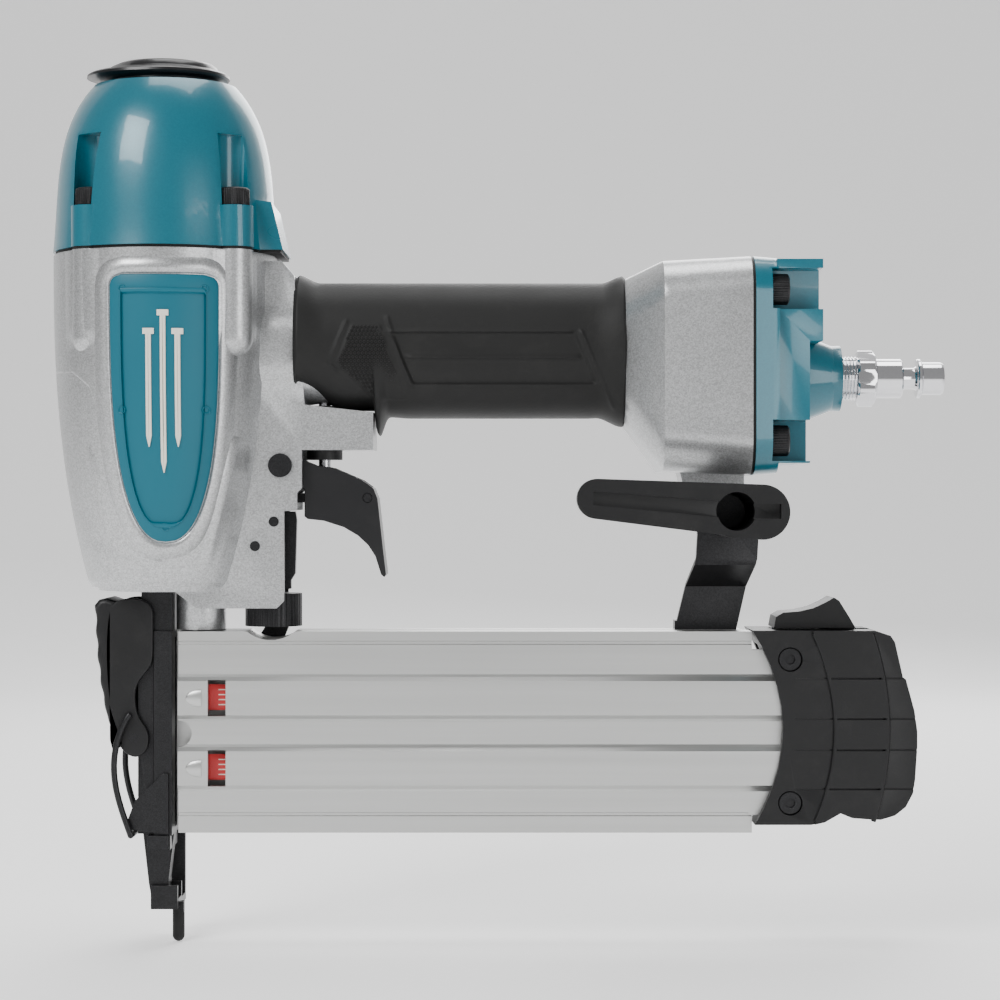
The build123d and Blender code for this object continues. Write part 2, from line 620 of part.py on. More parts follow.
nose -= block(-0.75, 0.75, -1.0, 1.0, -1, nose_top_z + 2)
nose -= block(0, nose_back_x + 1, -nail_slot, nail_slot, mag_z0 + 2, mag_z1 - 2)
nose -= rod("Y", -20, 20, hinge_r, hinge_x, 0, hinge_z)
for y in (-nose_screw_y, nose_screw_y):
    nose -= rod("Z", 80, nose_top_z + 1, nose_screw_r, nose_screw_x, y)
save("nose_body", nose)
nose_screws = [rod("Z", 83.5, bumper_z - 0.4, nose_screw_r - 0.01, nose_screw_x, y)
               for y in (-nose_screw_y, nose_screw_y)]
save("nose_screws", Compound(children=nose_screws))
save("door_pin", rod("Y", -ear_half, ear_half, hinge_r - 0.01, hinge_x, 0, hinge_z))

door_x0 = nose_front_x - 0.2 - door_t
door_top = 74.5
door = block(door_x0, nose_front_x - 0.2, -door_half, door_half, door_bottom_z + 0.4, door_top)
door += block(nose_front_x - 1, -0.85, -2.2, 2.2, door_bottom_z + 0.4, door_top)
door += rod("Y", -4.3, 4.3, 2.1, hinge_x, 0, hinge_z)
door += block(hinge_x - 2.1, hinge_x + 1.6, -4.3, 4.3, door_top - 1, hinge_z)
door -= rod("Y", -10, 10, hinge_r + fit, hinge_x, 0, hinge_z)
door += rod("Y", -door_half, door_half, 3.2, cam_x + 0.4, 0, cam_z)
door -= rod("Y", -10, 10, cam_pin_r, cam_x, 0, cam_z)
save("nose_door", door)
save("cam_pin", rod("Y", -cam_half, cam_half, cam_pin_r - 0.01, cam_x, 0, cam_z))

cam_outline = [
    (-18.9, 84.6), (-17.9, 79.1), (-18.4, 75.0), (-17.6, 72.4), (-17.9, 68.5), (-16.9, 64.6), (-17.2, 61.0),
    (-16.1, 57.6), (-15.0, 50.9), (-12.7, 45.6), (-10.5, 42.9), (-7.2, 41.9), (-4.9, 42.9), (-3.6, 47.3),
    (-4.7, 50.9), (-8.0, 55.1), (-8.0, 61.2), (-3.0, 66.5), (-2.4, 68.2), (-2.4, 76.8), (-2.3, 85.4),
    (-8.8, 86.8), (-16.5, 86.4),
]
cam = xz(cam_outline, -cam_half, cam_half)
cam -= block(-12.6, 5, -door_half - gap, door_half + gap, 38, 90)
cam -= rod("Y", -20, 20, cam_pin_r + fit, cam_x, 0, cam_z)
cam -= rod("Y", -20, 20, bail_wire_r + fit, bail_x, 0, bail_z)
save("cam_lever", cam)

def make_bail():
    """Bent wire: two legs that bow forward, a foot bar under the ears and two short pivot ends."""
    bar_x, bar_z = -8.4, 20.4
    parts = []
    for side in (-1, 1):
        y = side * bail_half
        path = FilletPolyline((bail_x, y, bail_z), (-12.9, y, 46.0), (-13.6, y, 34.5), (-10.6, y, 26.5),
                              (bar_x, y, bar_z), radius=3.0)
        parts.append(sweep(Plane(origin=path @ 0, z_dir=path % 0) * Circle(bail_wire_r), path))
        inner = side * (door_half + gap + 0.2)
        y0, y1 = sorted((inner, y))
        parts.append(rod("Y", y0, y1, bail_wire_r, bail_x, 0, bail_z))
        parts.append(Pos(bail_x, y, bail_z) * Sphere(bail_wire_r))
        parts.append(Pos(bar_x, y, bar_z) * Sphere(bail_wire_r))
    bail = rod("Y", -bail_half, bail_half, bail_wire_r, bar_x, 0, bar_z)
    for piece in parts:
        bail += piece
    return bail


save("wire_bail", make_bail())

# ---------------------------------------------------------------- magazine
cover_end_x = mag_x1 + 11.7   # end of the cover's wall inside the rear cover
ridge = 1.6               # height of the two long ridges
ridge_bands = [(44.7, 33.4), (64.2, 52.9)]
groove = 0.5              # depth of the two long grooves
cover_back_y = -mag_half + ridge


def cover_face(z_low, z_high, grooves):
    """Outer edge of the cover's section, from z_low up to z_high, with ridges and grooves."""
    points = [(cover_back_y, z_low)]
    if grooves:
        points += [(cover_back_y, 25.6), (cover_back_y + groove, 25.8), (cover_back_y + groove, 26.5)]
        points += [(cover_back_y, 26.7)]
    for high, low in ridge_bands:
        points += [(cover_back_y, low - 0.9), (cover_back_y - 0.5, low - 0.2), (-mag_half, low + 0.9)]
        points += [(-mag_half, high - 0.9), (cover_back_y - 0.5, high + 0.2), (cover_back_y, high + 0.9)]
    if grooves:
        points += [(cover_back_y, 73.3), (cover_back_y + groove, 73.5), (cover_back_y + groove, 74.2)]
        points += [(cover_back_y, 74.4)]
    return points + [(cover_back_y, z_high)]


inner_y = cover_back_y + mag_skin
cover = yz(cover_face(mag_z0, mag_z1, True) + [(-mag_split, mag_z1), (-mag_split, mag_z1 - mag_skin),
           (inner_y, mag_z1 - mag_skin), (inner_y, mag_z0 + mag_skin), (-mag_split, mag_z0 + mag_skin),
           (-mag_split, mag_z0)], mag_x0, mag_x1)
cover_tail = cover_face(mag_z0 + 5, mag_z1 - 5, False) + [(inner_y, mag_z1 - 5), (inner_y, mag_z0 + 5)]
cover += yz(cover_tail, mag_x1 - 1, cover_end_x)
window_x = (13.0, 18.0)
relief_r = dial_r + 2.4   # scallop in the magazine's top under the dial
relief_z = mag_z1 + 8
for high, low in ridge_bands:
    cover -= block(window_x[0], window_x[1], -20, -2, low + 0.6, high - 0.6)
cover -= rod("Y", -20, -2, 3.7, mag_x0, 0, 48.6)
cover -= rod("Y", -30, 30, relief_r, dial_x, 0, relief_z)
save("magazine_cover", cover)

rail_x0 = mag_x0 - 1.7
rail_x1 = mag_x1 - 2
rail_half = 9.0
rail = block(rail_x0, rail_x1, mag_split, rail_half, mag_z0 + 3.0, mag_z1 - 3.0)
rail += block(rail_x0, rail_x1, 0.9, rail_half, mag_z1 - 4, mag_z1)
rail += block(rail_x0, rail_x1, 0.9, rail_half, mag_z0 + 0.5, mag_z0 + 4)
rail += block(mag_x0 + 1, mag_x1 - 4, -2.4, mag_split + 1, mag_z0 + 3.0, mag_z0 + 8.0)
rail += block(mag_x0 + 1, mag_x1 - 4, -2.4, mag_split + 1, mag_z1 - 8.0, mag_z1 - 3.0)
rail -= block(mag_x0 - 3, mag_x1 - 6, -nail_slot, nail_slot + 0.2, mag_z0 + 2.4, mag_z1 - 4.5)
rail -= rod("Y", -30, 30, relief_r, dial_x, 0, relief_z)
rail -= rod("Z", mag_z1 - 8, mag_z1 + 1, mag_screw_r, neck_x, mag_screw_y)
save("magazine_rail", rail)

pusher_x0 = 19.0
pusher_x1 = 46.0
flag_x0 = window_x[0] - 1.2
flag_y0 = inner_y + 0.6
flag_y1 = flag_y0 + 1.2
pusher = block(pusher_x0, pusher_x1 + 6, -0.6, 0.5, mag_z0 + 4.5, mag_z1 - 5.2)
pusher += block(pusher_x0, pusher_x1, flag_y0, -0.4, 44.0, 53.0)
for high, low in ridge_bands:
    pusher += block(flag_x0, pusher_x1, flag_y0, flag_y1, low + 2.2, high - 2.2)
pusher += block(pusher_x0 + 1, pusher_x1, flag_y0, flag_y1, 35.0, 62.0)
save("pusher", pusher)
coil_x0 = pusher_x1 + gap
coil_x1 = mag_x1 - 7.3
coil_y = -4.4
coil_z = 48.5
pusher_spring = rod("X", coil_x0, coil_x1, 2.6, 0, coil_y, coil_z)
pusher_spring -= rod("X", coil_x0 - 1, coil_x1 + 1, 1.9, 0, coil_y, coil_z)
save("pusher_spring", pusher_spring)



def from_end(points):
    """Outline points whose x counts from the magazine's end."""
    return [(mag_x1 + x, z) for x, z in points]


rear_outline = from_end([
    (0, 77.4), (33.7, 77.4), (38.1, 76.0), (39.3, 74.2), (41.5, 64.5), (42.3, 64.0), (44.7, 55.2),
    (45.5, 49.5), (45.5, 45.5), (44.9, 36.4), (44.3, 32.4), (42.3, 28.6), (39.3, 26.2), (35.3, 25.0),
    (27.3, 25.6), (24.1, 26.9), (19.7, 24.4), (16.1, 23.6), (0, 23.6),
])


def arc_edge(x_ends, x_mid):
    """Points of a bowed edge from the cover's foot to its top, bulging towards the plug."""
    steps = 10
    rows = [22.0 + (79.0 - 22.0) * i / steps for i in range(steps + 1)]
    return [(x_ends + (x_mid - x_ends) * (1 - ((z - 50.0) / 27.0) ** 2), z) for z in rows]


front_edge = arc_edge(mag_x1 + 0.2, mag_x1 + 8.3)
middle_edge = arc_edge(mag_x1 + 16.7, mag_x1 + 22.9)
back_edge = arc_edge(mag_x1 + 32.7, mag_x1 + 37.7)
rear = xz(rear_outline, -rear_half + 1.0, rear_half - 1.0)
raised = xz(middle_edge + back_edge[::-1], -rear_half, rear_half) & xz(rear_outline, -rear_half, rear_half)
rear += raised
rear &= xz(front_edge + from_end([(51, 79), (51, 22)]), -rear_half - 1, rear_half + 1)
for line_z in (64.2, 53.0, 44.4, 33.6):
    for side in (-1, 1):
        low_y, high_y = sorted((side * (rear_half - 1.5), side * (rear_half + 1)))
        rear -= block(mag_x1 + 11.7, mag_x1 + 51, low_y, high_y, line_z - 0.25, line_z + 0.25)
rear -= block(mag_x1 - 3, mag_x1 + 35.7, mag_split - 0.3, 9.3, mag_z0, mag_z1 - 4)
rear -= block(mag_x1 + 19.7, mag_x1 + 41.7, -3.5, 3.5, 70, 80)
tail_cut = cover_face(mag_z0 + 4.9, mag_z1 - 4.9, False)
rear -= yz([(y - 0.05, z) for y, z in tail_cut] + [(inner_y, mag_z1 - 4.9), (inner_y, mag_z0 + 4.9)],
           mag_x1 - 3, cover_end_x + 0.1)
rear_screw_places = from_end([(10.3, 69.4), (10.3, 29.6)])
for x, z in rear_screw_places:
    rear -= rod("Y", -rear_half - 1, -rear_half + 3.2, 3.4, x, 0, z)
rear_lip = block(mag_x1 - 7, mag_x1 + 8, inner_y + 0.02, -mag_split - 4, mag_z0 + 10, mag_z1 - 10)
rear += rear_lip - block(mag_x1 - 20, mag_x1 + 20, -8, 0, 42, 56)
rear -= rod("Y", -6, 6, latch_pin_r, latch_x, 0, latch_pin_z)
save("rear_cover", rear)
rear_screws = []
for x, z in rear_screw_places:
    head = rod("Y", -rear_half + 1.6, -rear_half + 3.19, 3.0, x, 0, z)
    rear_screws.append(head - rod("Y", -rear_half, -rear_half + 2.4, 1.4, x, 0, z))
save("rear_cover_screws", Compound(children=rear_screws))

latch = xz(from_end([(6.3, 77.9), (6.9, 81.0), (8.9, 82.2), (13.1, 82.5), (17.2, 83.4), (20.5, 84.9),
                     (23.1, 86.4), (24.5, 85.5), (27.3, 81), (29.1, 77.9)]), -8.0, 8.0)
latch += xz(from_end([(21.7, 78.2), (28.9, 78.2), (33.9, 74.6), (33.9, 70.8), (29.7, 70.6)]), -3.2, 3.2)
latch -= rod("Y", -20, 20, latch_pin_r + fit, latch_x, 0, latch_pin_z)
save("latch_lever", latch)
save("latch_pin", rod("Y", -6, 6, latch_pin_r - 0.01, latch_x, 0, latch_pin_z))

# ---------------------------------------------------------------- strap and belt hook
strap_y0 = -lug_half - strap_t
foot_y0 = 2.0
strap = xz([(hook_bolt_x - 8, 116), (hook_bolt_x + 8, 116), (hook_bolt_x + 9.4, 104), (hook_bolt_x + 9.0, 97),
            (hook_bolt_x - 8.0, 97), (hook_bolt_x - 7.6, 104)], strap_y0, strap_y0 + strap_t)
jog = yz([(strap_y0, 97.4), (strap_y0 + strap_t, 97.4), (foot_y0 + strap_t, 90), (foot_y0 + strap_t, mag_z1),
          (foot_y0, mag_z1), (foot_y0, 89.2), (strap_y0, 95.6)], hook_bolt_x - 36, hook_bolt_x + 24)
lower_strap = xz([(hook_bolt_x - 8.0, 97.4), (hook_bolt_x + 9.0, 97.4), (hook_bolt_x + 4.4, mag_z1),
                  (hook_bolt_x - 13.0, mag_z1)], -20, 20)
strap += jog & lower_strap
strap_foot = block(hook_bolt_x - 13.0, hook_bolt_x + 4.4, foot_y0, 8.8, mag_z1, mag_z1 + 2.5)
strap += strap_foot
strap -= rod("Y", -20, 0, hook_bolt_r + 0.02, hook_bolt_x, 0, hook_bolt_z)
save("hanger_strap", strap)


def make_hook():
    """Tapered plate with a long bolt boss, a bolt counterbore and two recesses."""
    y1 = hook_face_y + hook_t
    outline = make_hull([
        (Pos(hook_tip_x, hook_tip_z, 0) * Circle(hook_tip_r)).edge(),
        (Pos(hook_end_x, hook_bolt_z - 0.2, 0) * Circle(hook_end_r)).edge(),
    ])
    plate = Pos(0, hook_face_y, 0) * Rot(90, 0, 0) * extrude(outline, amount=-hook_t)
    hook = plate + rod("Y", y1 - 1, strap_y0 - gap, hook_boss_r, hook_bolt_x, 0, hook_bolt_z)
    hook -= rod("Y", hook_face_y - 1, -18, 5.1, hook_bolt_x, 0, hook_bolt_z)
    hook -= rod("Y", -19, 0, hook_bolt_r + fit, hook_bolt_x, 0, hook_bolt_z)
    slot = [(hook_tip_x - 1, hook_tip_z + 2), (hook_bolt_x, hook_bolt_z + 2.4),
            (hook_bolt_x, hook_bolt_z - 2.0), (hook_tip_x - 1, hook_tip_z - 1.6)]
    hook -= xz(slot, hook_face_y - 1, hook_face_y + 4)
    hook -= xz([(hook_bolt_x, hook_bolt_z + 2), (168.3, hook_bolt_z + 2), (168.3, hook_bolt_z - 2),
                (hook_bolt_x, hook_bolt_z - 2)], hook_face_y - 1, hook_face_y + 4)
    return hook


save("belt_hook", make_hook())
hook_bolt = rod("Y", -22.0, -18 - 0.02, 4.4, hook_bolt_x, 0, hook_bolt_z)
hook_bolt += rod("Y", -18.5, lug_half, hook_bolt_r - 0.01, hook_bolt_x, 0, hook_bolt_z)
save("hook_bolt", hook_bolt)
save("magazine_screw", rod("Z", mag_z1 - 7, mag_z1 + 6, mag_screw_r - 0.01, neck_x, mag_screw_y))
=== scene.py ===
"""Looks of a pneumatic brad nailer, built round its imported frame.

Every length is in metres, in the frame's own axes: +X runs from the nose to the air plug, +Z is up
along the drive axis, and the tool's near side, with the belt hook, is at -Y.
"""
import json
import logging
import math
from dataclasses import dataclass, field
from enum import Enum
from typing import Optional, Sequence, Union

import bmesh
import bpy
import numpy as np
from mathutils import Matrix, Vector


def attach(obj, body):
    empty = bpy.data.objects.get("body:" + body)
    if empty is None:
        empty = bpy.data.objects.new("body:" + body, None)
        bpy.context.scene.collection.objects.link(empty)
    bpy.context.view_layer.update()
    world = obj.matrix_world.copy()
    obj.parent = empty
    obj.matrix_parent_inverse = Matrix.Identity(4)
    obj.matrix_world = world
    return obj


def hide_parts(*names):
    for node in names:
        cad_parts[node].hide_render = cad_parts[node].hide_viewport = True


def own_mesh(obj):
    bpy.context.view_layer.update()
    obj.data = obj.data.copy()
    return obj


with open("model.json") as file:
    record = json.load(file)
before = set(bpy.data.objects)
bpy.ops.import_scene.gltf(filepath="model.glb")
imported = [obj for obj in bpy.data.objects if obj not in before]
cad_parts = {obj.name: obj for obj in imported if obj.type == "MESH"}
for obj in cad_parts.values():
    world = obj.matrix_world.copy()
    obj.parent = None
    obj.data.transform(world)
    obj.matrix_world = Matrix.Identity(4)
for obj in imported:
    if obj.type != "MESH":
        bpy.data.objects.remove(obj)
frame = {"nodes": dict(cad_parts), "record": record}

LOG = logging.getLogger("nailer")
MM = 0.001
TAU = 2.0 * math.pi
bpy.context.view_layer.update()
# Centres of the four cap screws: their middle on X, half their spacings, and the height of their seats, in mm.
CAP_SCREW_X, CAP_SCREW_DX, CAP_SCREW_DY, CAP_SCREW_Z = 1.8, 19.6, 20.6, 194.0
# Centres of the four end-cap screws: seat on X, half their spacing on Y, middle and half spacing on Z, in mm.
END_SCREW_X, END_SCREW_DY, END_SCREW_Z, END_SCREW_DZ = 168.2, 21.5, 150.5, 20.7
NEAR, FAR = -1, 1
SIDES = ((NEAR, "near"), (FAR, "far"))
Value = Union[float, bpy.types.NodeSocket]


# ---------------------------------------------------------------- meshes
def smoothstep(low: float, high: float, x: Union[float, np.ndarray]) -> np.ndarray:
    """Cubic ramp from 0 at low to 1 at high.

    Args:
        low: Where the ramp starts.
        high: Where the ramp ends.
        x: Values to ramp.

    Returns:
        Ramped values from 0 to 1.
    """
    t = np.clip((x - low) / (high - low), 0.0, 1.0)
    return t * t * (3.0 - 2.0 * t)


def bump(x: np.ndarray, middle: Union[float, np.ndarray], width: Union[float, np.ndarray]) -> np.ndarray:
    """Bell curve of height 1 about a middle: e to the power of minus the square of the way from it."""
    return np.exp(-((x - middle) / width) ** 2)


def plateau(x: np.ndarray, low: float, high: float, edge: float) -> np.ndarray:
    """Level 1 between low and high, falling to 0 over edge on both sides."""
    return smoothstep(low - edge, low, x) * (1.0 - smoothstep(high, high + edge, x))


def grid_faces(rows: int, cols: int, wrap: bool) -> np.ndarray:
    """Quads of a grid whose columns may close on themselves.

    Args:
        rows: Number of rows of points.
        cols: Number of points in a row.
        wrap: True if the last column joins the first.

    Returns:
        An (n, 4) array of vertex numbers.
    """
    i, j = np.meshgrid(np.arange(rows - 1), np.arange(cols if wrap else cols - 1), indexing="ij")
    k = (j + 1) % cols
    quad = np.stack([i * cols + j, i * cols + k, (i + 1) * cols + k, (i + 1) * cols + j], axis=-1)
    return quad.reshape(-1, 4)


def make_piece(name: str, verts: np.ndarray, faces: Sequence, sharp_deg: float = 35.0) -> bpy.types.Object:
    """Makes an object from vertex and face arrays, with faces turned outwards.

    Args:
        name: The piece's name.
        verts: (n, 3) array of points in metres.
        faces: Faces as lists of vertex numbers.
        sharp_deg: Edges sharper than this stay hard in the shading.

    Returns:
        The new object, at the origin.
    """
    mesh = bpy.data.meshes.new(name)
    mesh.from_pydata(verts.tolist(), [], [list(map(int, f)) for f in faces])
    work = bmesh.new()
    work.from_mesh(mesh)
    bmesh.ops.remove_doubles(work, verts=work.verts, dist=1e-6)
    bmesh.ops.recalc_face_normals(work, faces=work.faces)
    work.to_mesh(mesh)
    work.free()
    mesh.shade_smooth()
    mesh.set_sharp_from_angle(angle=math.radians(sharp_deg))
    obj = bpy.data.objects.new(name, mesh)
    bpy.context.scene.collection.objects.link(obj)
    return obj


def lathe(name: str, rings: np.ndarray, closed_ends: bool = True,
          sharp_deg: float = 35.0) -> bpy.types.Object:
    """Skin over a stack of closed rings: rings[i, j] is point j of ring i.

    Args:
        name: The piece's name.
        rings: (rows, cols, 3) array.
        closed_ends: True to close both ends with a fan about their centres.
        sharp_deg: Shading angle of hard edges.

    Returns:
        The new object.
    """
    rows, cols, _ = rings.shape
    verts = rings.reshape(-1, 3)
    faces = grid_faces(rows, cols, True).tolist()
    if closed_ends:
        ends = np.stack([rings[0].mean(axis=0), rings[-1].mean(axis=0)])
        base = len(verts)
        verts = np.vstack([verts, ends])
        j = np.arange(cols)
        k = (j + 1) % cols
        faces += np.stack([k, j, np.full(cols, base)], axis=-1).tolist()
        last = (rows - 1) * cols
        faces += np.stack([last + j, last + k, np.full(cols, base + 1)], axis=-1).tolist()
    return make_piece(name, verts, faces, sharp_deg)


def tube(name: str, path: np.ndarray, radius: float, sides: int = 12) -> bpy.types.Object:
    """Round wire along a path: a circle carried along it, square to its direction.

    Args:
        name: The piece's name.
        path: (n, 3) array of centre points.
        radius: Wire radius.
        sides: Points round the wire.

    Returns:
        The new object.
    """
    tangent = np.gradient(path, axis=0)
    tangent /= np.linalg.norm(tangent, axis=1, keepdims=True)
    up = np.tile(np.array([0.0, 1.0, 0.0]), (len(path), 1))
    side = np.cross(tangent, up)
    weak = np.linalg.norm(side, axis=1) < 0.2
    side[weak] = np.cross(tangent[weak], np.array([0.0, 0.0, 1.0]))
    side /= np.linalg.norm(side, axis=1, keepdims=True)
    other = np.cross(side, tangent)
    angle = np.arange(sides) * TAU / sides
    ring = np.cos(angle)[None, :, None] * side[:, None, :] + np.sin(angle)[None, :, None] * other[:, None, :]
    return lathe(name, path[:, None, :] + radius * ring)


def rounded_line(points: Sequence[tuple[float, float]], cuts: int = 3) -> np.ndarray:
    """Smooth closed line: each corner is cut at a quarter of its two sides, again and again.

    Args:
        points: Corners of a closed outline.
        cuts: How many times the corners are cut.

    Returns:
        (n, 2) array of points.
    """
    line = np.array(points, dtype=float)
    for _ in range(cuts):
        after = np.roll(line, -1, axis=0)
        line = np.stack([0.75 * line + 0.25 * after, 0.25 * line + 0.75 * after], axis=1).reshape(-1, 2)
    return line


def plate(name: str, line: np.ndarray, y0: float, y1: float, edge: float) -> bpy.types.Object:
    """Plate across Y with rounded edges: the outline steps inwards by a quarter circle at both faces.

    Args:
        name: The piece's name.
        line: (n, 2) closed outline of x and z in mm.
        y0: Low face in mm.
        y1: High face in mm.
        edge: Radius of the rounding in mm.

    Returns:
        The new object.
    """
    along = np.roll(line, -1, axis=0) - np.roll(line, 1, axis=0)
    normal = np.stack([along[:, 1], -along[:, 0]], axis=-1)
    normal /= np.maximum(np.linalg.norm(normal, axis=1, keepdims=True), 1e-9)
    area = np.sum(line[:, 0] * np.roll(line[:, 1], -1) - np.roll(line[:, 0], -1) * line[:, 1])
    inward = -normal if area > 0 else normal
    turn = np.linspace(0.0, math.pi / 2, 6)
    steps = [(edge * (1 - np.sin(t)), y0 + edge * (1 - np.cos(t))) for t in turn]
    steps += [(edge * (1 - np.cos(t)), y1 - edge * (1 - np.sin(t))) for t in turn]
    count = len(line)
    rings = [np.stack([line[:, 0] + inward[:, 0] * step, np.full(count, y), line[:, 1] + inward[:, 1] * step],
                      axis=-1) for step, y in steps]
    faces = grid_faces(len(rings), count, True).tolist()
    faces += [list(range(count))[::-1], [(len(rings) - 1) * count + j for j in range(count)]]
    return make_piece(name, np.concatenate(rings) * MM, faces)


def softened(node: str, width_mm: float, segments: int = 2, angle_deg: float = 32.0) -> bpy.types.Object:
    """Merged copy of a node's mesh with its hard edges rounded, standing for that node.

    Args:
        node: The node's name.
        width_mm: Width of the rounding.
        segments: Steps across the rounding.
        angle_deg: Edges sharper than this are rounded.

    Returns:
        The new object, riding on the node's body.
    """
    source = frame["nodes"][node]
    mesh = source.data.copy()
    mesh.name = f"{node}_soft"
    work = bmesh.new()
    work.from_mesh(mesh)
    bmesh.ops.remove_doubles(work, verts=work.verts, dist=2e-6)
    bmesh.ops.dissolve_limit(work, angle_limit=math.radians(0.5), verts=work.verts, edges=work.edges)
    work.to_mesh(mesh)
    work.free()
    mesh.shade_smooth()
    mesh.set_sharp_from_angle(angle=math.radians(angle_deg))
    piece = bpy.data.objects.new(f"{node}_soft", mesh)
    bpy.context.scene.collection.objects.link(piece)
    bevel = piece.modifiers.new("rounding", "BEVEL")
    bevel.width = width_mm * MM
    bevel.segments = segments
    bevel.limit_method = "ANGLE"
    bevel.angle_limit = math.radians(angle_deg)
    bevel.use_clamp_overlap = True
    bevel.harden_normals = False
    bevel.miter_outer = "MITER_ARC"
    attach(piece, body_of_node(node))
    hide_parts(node)
    return piece


def hex_sector(angle: np.ndarray) -> np.ndarray:
    """Angle from the middle of the nearest of a hexagon's six flats."""
    return (angle + TAU / 12) % (TAU / 6) - TAU / 12


def body_of_node(node: str) -> str:
    """Name of the body that holds a node.

    Args:
        node: The node's name.

    Returns:
        The body's name.
    """
    for body, nodes in frame["record"]["behaviour"]["bodies"].items():
        if node in nodes:
            return body
    raise KeyError(node)


# ---------------------------------------------------------------- shader groups
class Effect(Enum):
    """Shared surface effects, each one a shader node group built once."""

    CAST = "cast_texture"
    PEBBLE = "pebble_texture"
    BRUSHED = "brushed_texture"
    DUST = "dust_mask"


def new_group(effect: Effect, inputs: dict[str, float], outputs: Sequence[str]) -> tuple:
    """Empty shader group with float inputs and outputs.

    Args:
        effect: Which effect the group is.
        inputs: Input names with their default values.
        outputs: Output names.

    Returns:
        The group, its input node and its output node.
    """
    group = bpy.data.node_groups.new(effect.value, "ShaderNodeTree")
    for name, value in inputs.items():
        socket = group.interface.new_socket(name, in_out="INPUT", socket_type="NodeSocketFloat")
        socket.default_value = value
    for name in outputs:
        group.interface.new_socket(name, in_out="OUTPUT", socket_type="NodeSocketFloat")
    return group, group.nodes.new("NodeGroupInput"), group.nodes.new("NodeGroupOutput")


def feed(tree: bpy.types.NodeTree, value: Value, socket: bpy.types.NodeSocket) -> None:
    """Sets a socket to a number, or links another socket to it."""
    if isinstance(value, (int, float)):
        socket.default_value = value
    else:
        tree.links.new(value, socket)


def maths(tree: bpy.types.NodeTree, operation: str, a: Value, b: Value) -> bpy.types.NodeSocket:
    """Math node of two values.

    Args:
        tree: Tree that the node goes into.
        operation: The node's operation.
        a: First value, a socket or a number.
        b: Second value, a socket or a number.

    Returns:
        The node's output.
    """
    node = tree.nodes.new("ShaderNodeMath")
    node.operation = operation
    feed(tree, a, node.inputs[0])
    feed(tree, b, node.inputs[1])
    return node.outputs[0]


def noise(tree: bpy.types.NodeTree, vector: bpy.types.NodeSocket, scale: Value, detail: float = 4.0,
          rough: float = 0.55) -> bpy.types.NodeSocket:
    """Noise texture on a vector.

    Args:
        tree: Tree that the node goes into.
        vector: Where the noise is read.
        scale: Scale, a socket or a number.
        detail: Number of finer layers.
        rough: How strongly the finer layers show.

    Returns:
        The noise's value.
    """
    node = tree.nodes.new("ShaderNodeTexNoise")
    node.inputs["Detail"].default_value = detail
    node.inputs["Roughness"].default_value = rough
    tree.links.new(vector, node.inputs["Vector"])
    feed(tree, scale, node.inputs["Scale"])
    return node.outputs["Fac"]


def stretched(tree: bpy.types.NodeTree, scale: tuple[float, float, float]) -> bpy.types.NodeSocket:
    """Object coordinates scaled along each axis.

    Args:
        tree: Tree that the nodes go into.
        scale: Factor along X, Y and Z.

    Returns:
        The scaled coordinates.
    """
    coords = tree.nodes.new("ShaderNodeTexCoord")
    mapping = tree.nodes.new("ShaderNodeMapping")
    mapping.inputs["Scale"].default_value = scale
    tree.links.new(coords.outputs["Object"], mapping.inputs["Vector"])
    return mapping.outputs["Vector"]


def build_cast() -> bpy.types.NodeTree:
    """Painted casting: fine orange peel, metal flakes and slow patches of tone.

    Returns:
        The group.
    """
    group, gin, out = new_group(Effect.CAST, {"Scale": 1.0}, ("Height", "Flake", "Patch"))
    vector = stretched(group, (1.0, 1.0, 1.0))
    fine = noise(group, vector, maths(group, "MULTIPLY", gin.outputs["Scale"], 900.0), 3.0)
    flakes = group.nodes.new("ShaderNodeTexVoronoi")
    group.links.new(vector, flakes.inputs["Vector"])
    group.links.new(maths(group, "MULTIPLY", gin.outputs["Scale"], 3200.0), flakes.inputs["Scale"])
    flake = group.nodes.new("ShaderNodeSeparateColor")
    group.links.new(flakes.outputs["Color"], flake.inputs["Color"])
    group.links.new(fine, out.inputs["Height"])
    group.links.new(flake.outputs["Red"], out.inputs["Flake"])
    group.links.new(noise(group, vector, 38.0, 3.0), out.inputs["Patch"])
    return group


def build_pebble() -> bpy.types.NodeTree:
    """Moulded grain: rounded cells with fine noise on top.

    Returns:
        The group.
    """
    group, gin, out = new_group(Effect.PEBBLE, {"Scale": 1.0, "Fineness": 0.3}, ("Height", "Patch"))
    vector = stretched(group, (1.0, 1.0, 1.0))
    cells = group.nodes.new("ShaderNodeTexVoronoi")
    cells.feature = "SMOOTH_F1"
    group.links.new(vector, cells.inputs["Vector"])
    group.links.new(maths(group, "MULTIPLY", gin.outputs["Scale"], 1100.0), cells.inputs["Scale"])
    fine = noise(group, vector, maths(group, "MULTIPLY", gin.outputs["Scale"], 3600.0), 2.0)
    mix = maths(group, "ADD", maths(group, "SUBTRACT", 1.0, cells.outputs["Distance"]),
                maths(group, "MULTIPLY", fine, gin.outputs["Fineness"]))
    group.links.new(mix, out.inputs["Height"])
    group.links.new(noise(group, vector, 55.0, 4.0), out.inputs["Patch"])
    return group


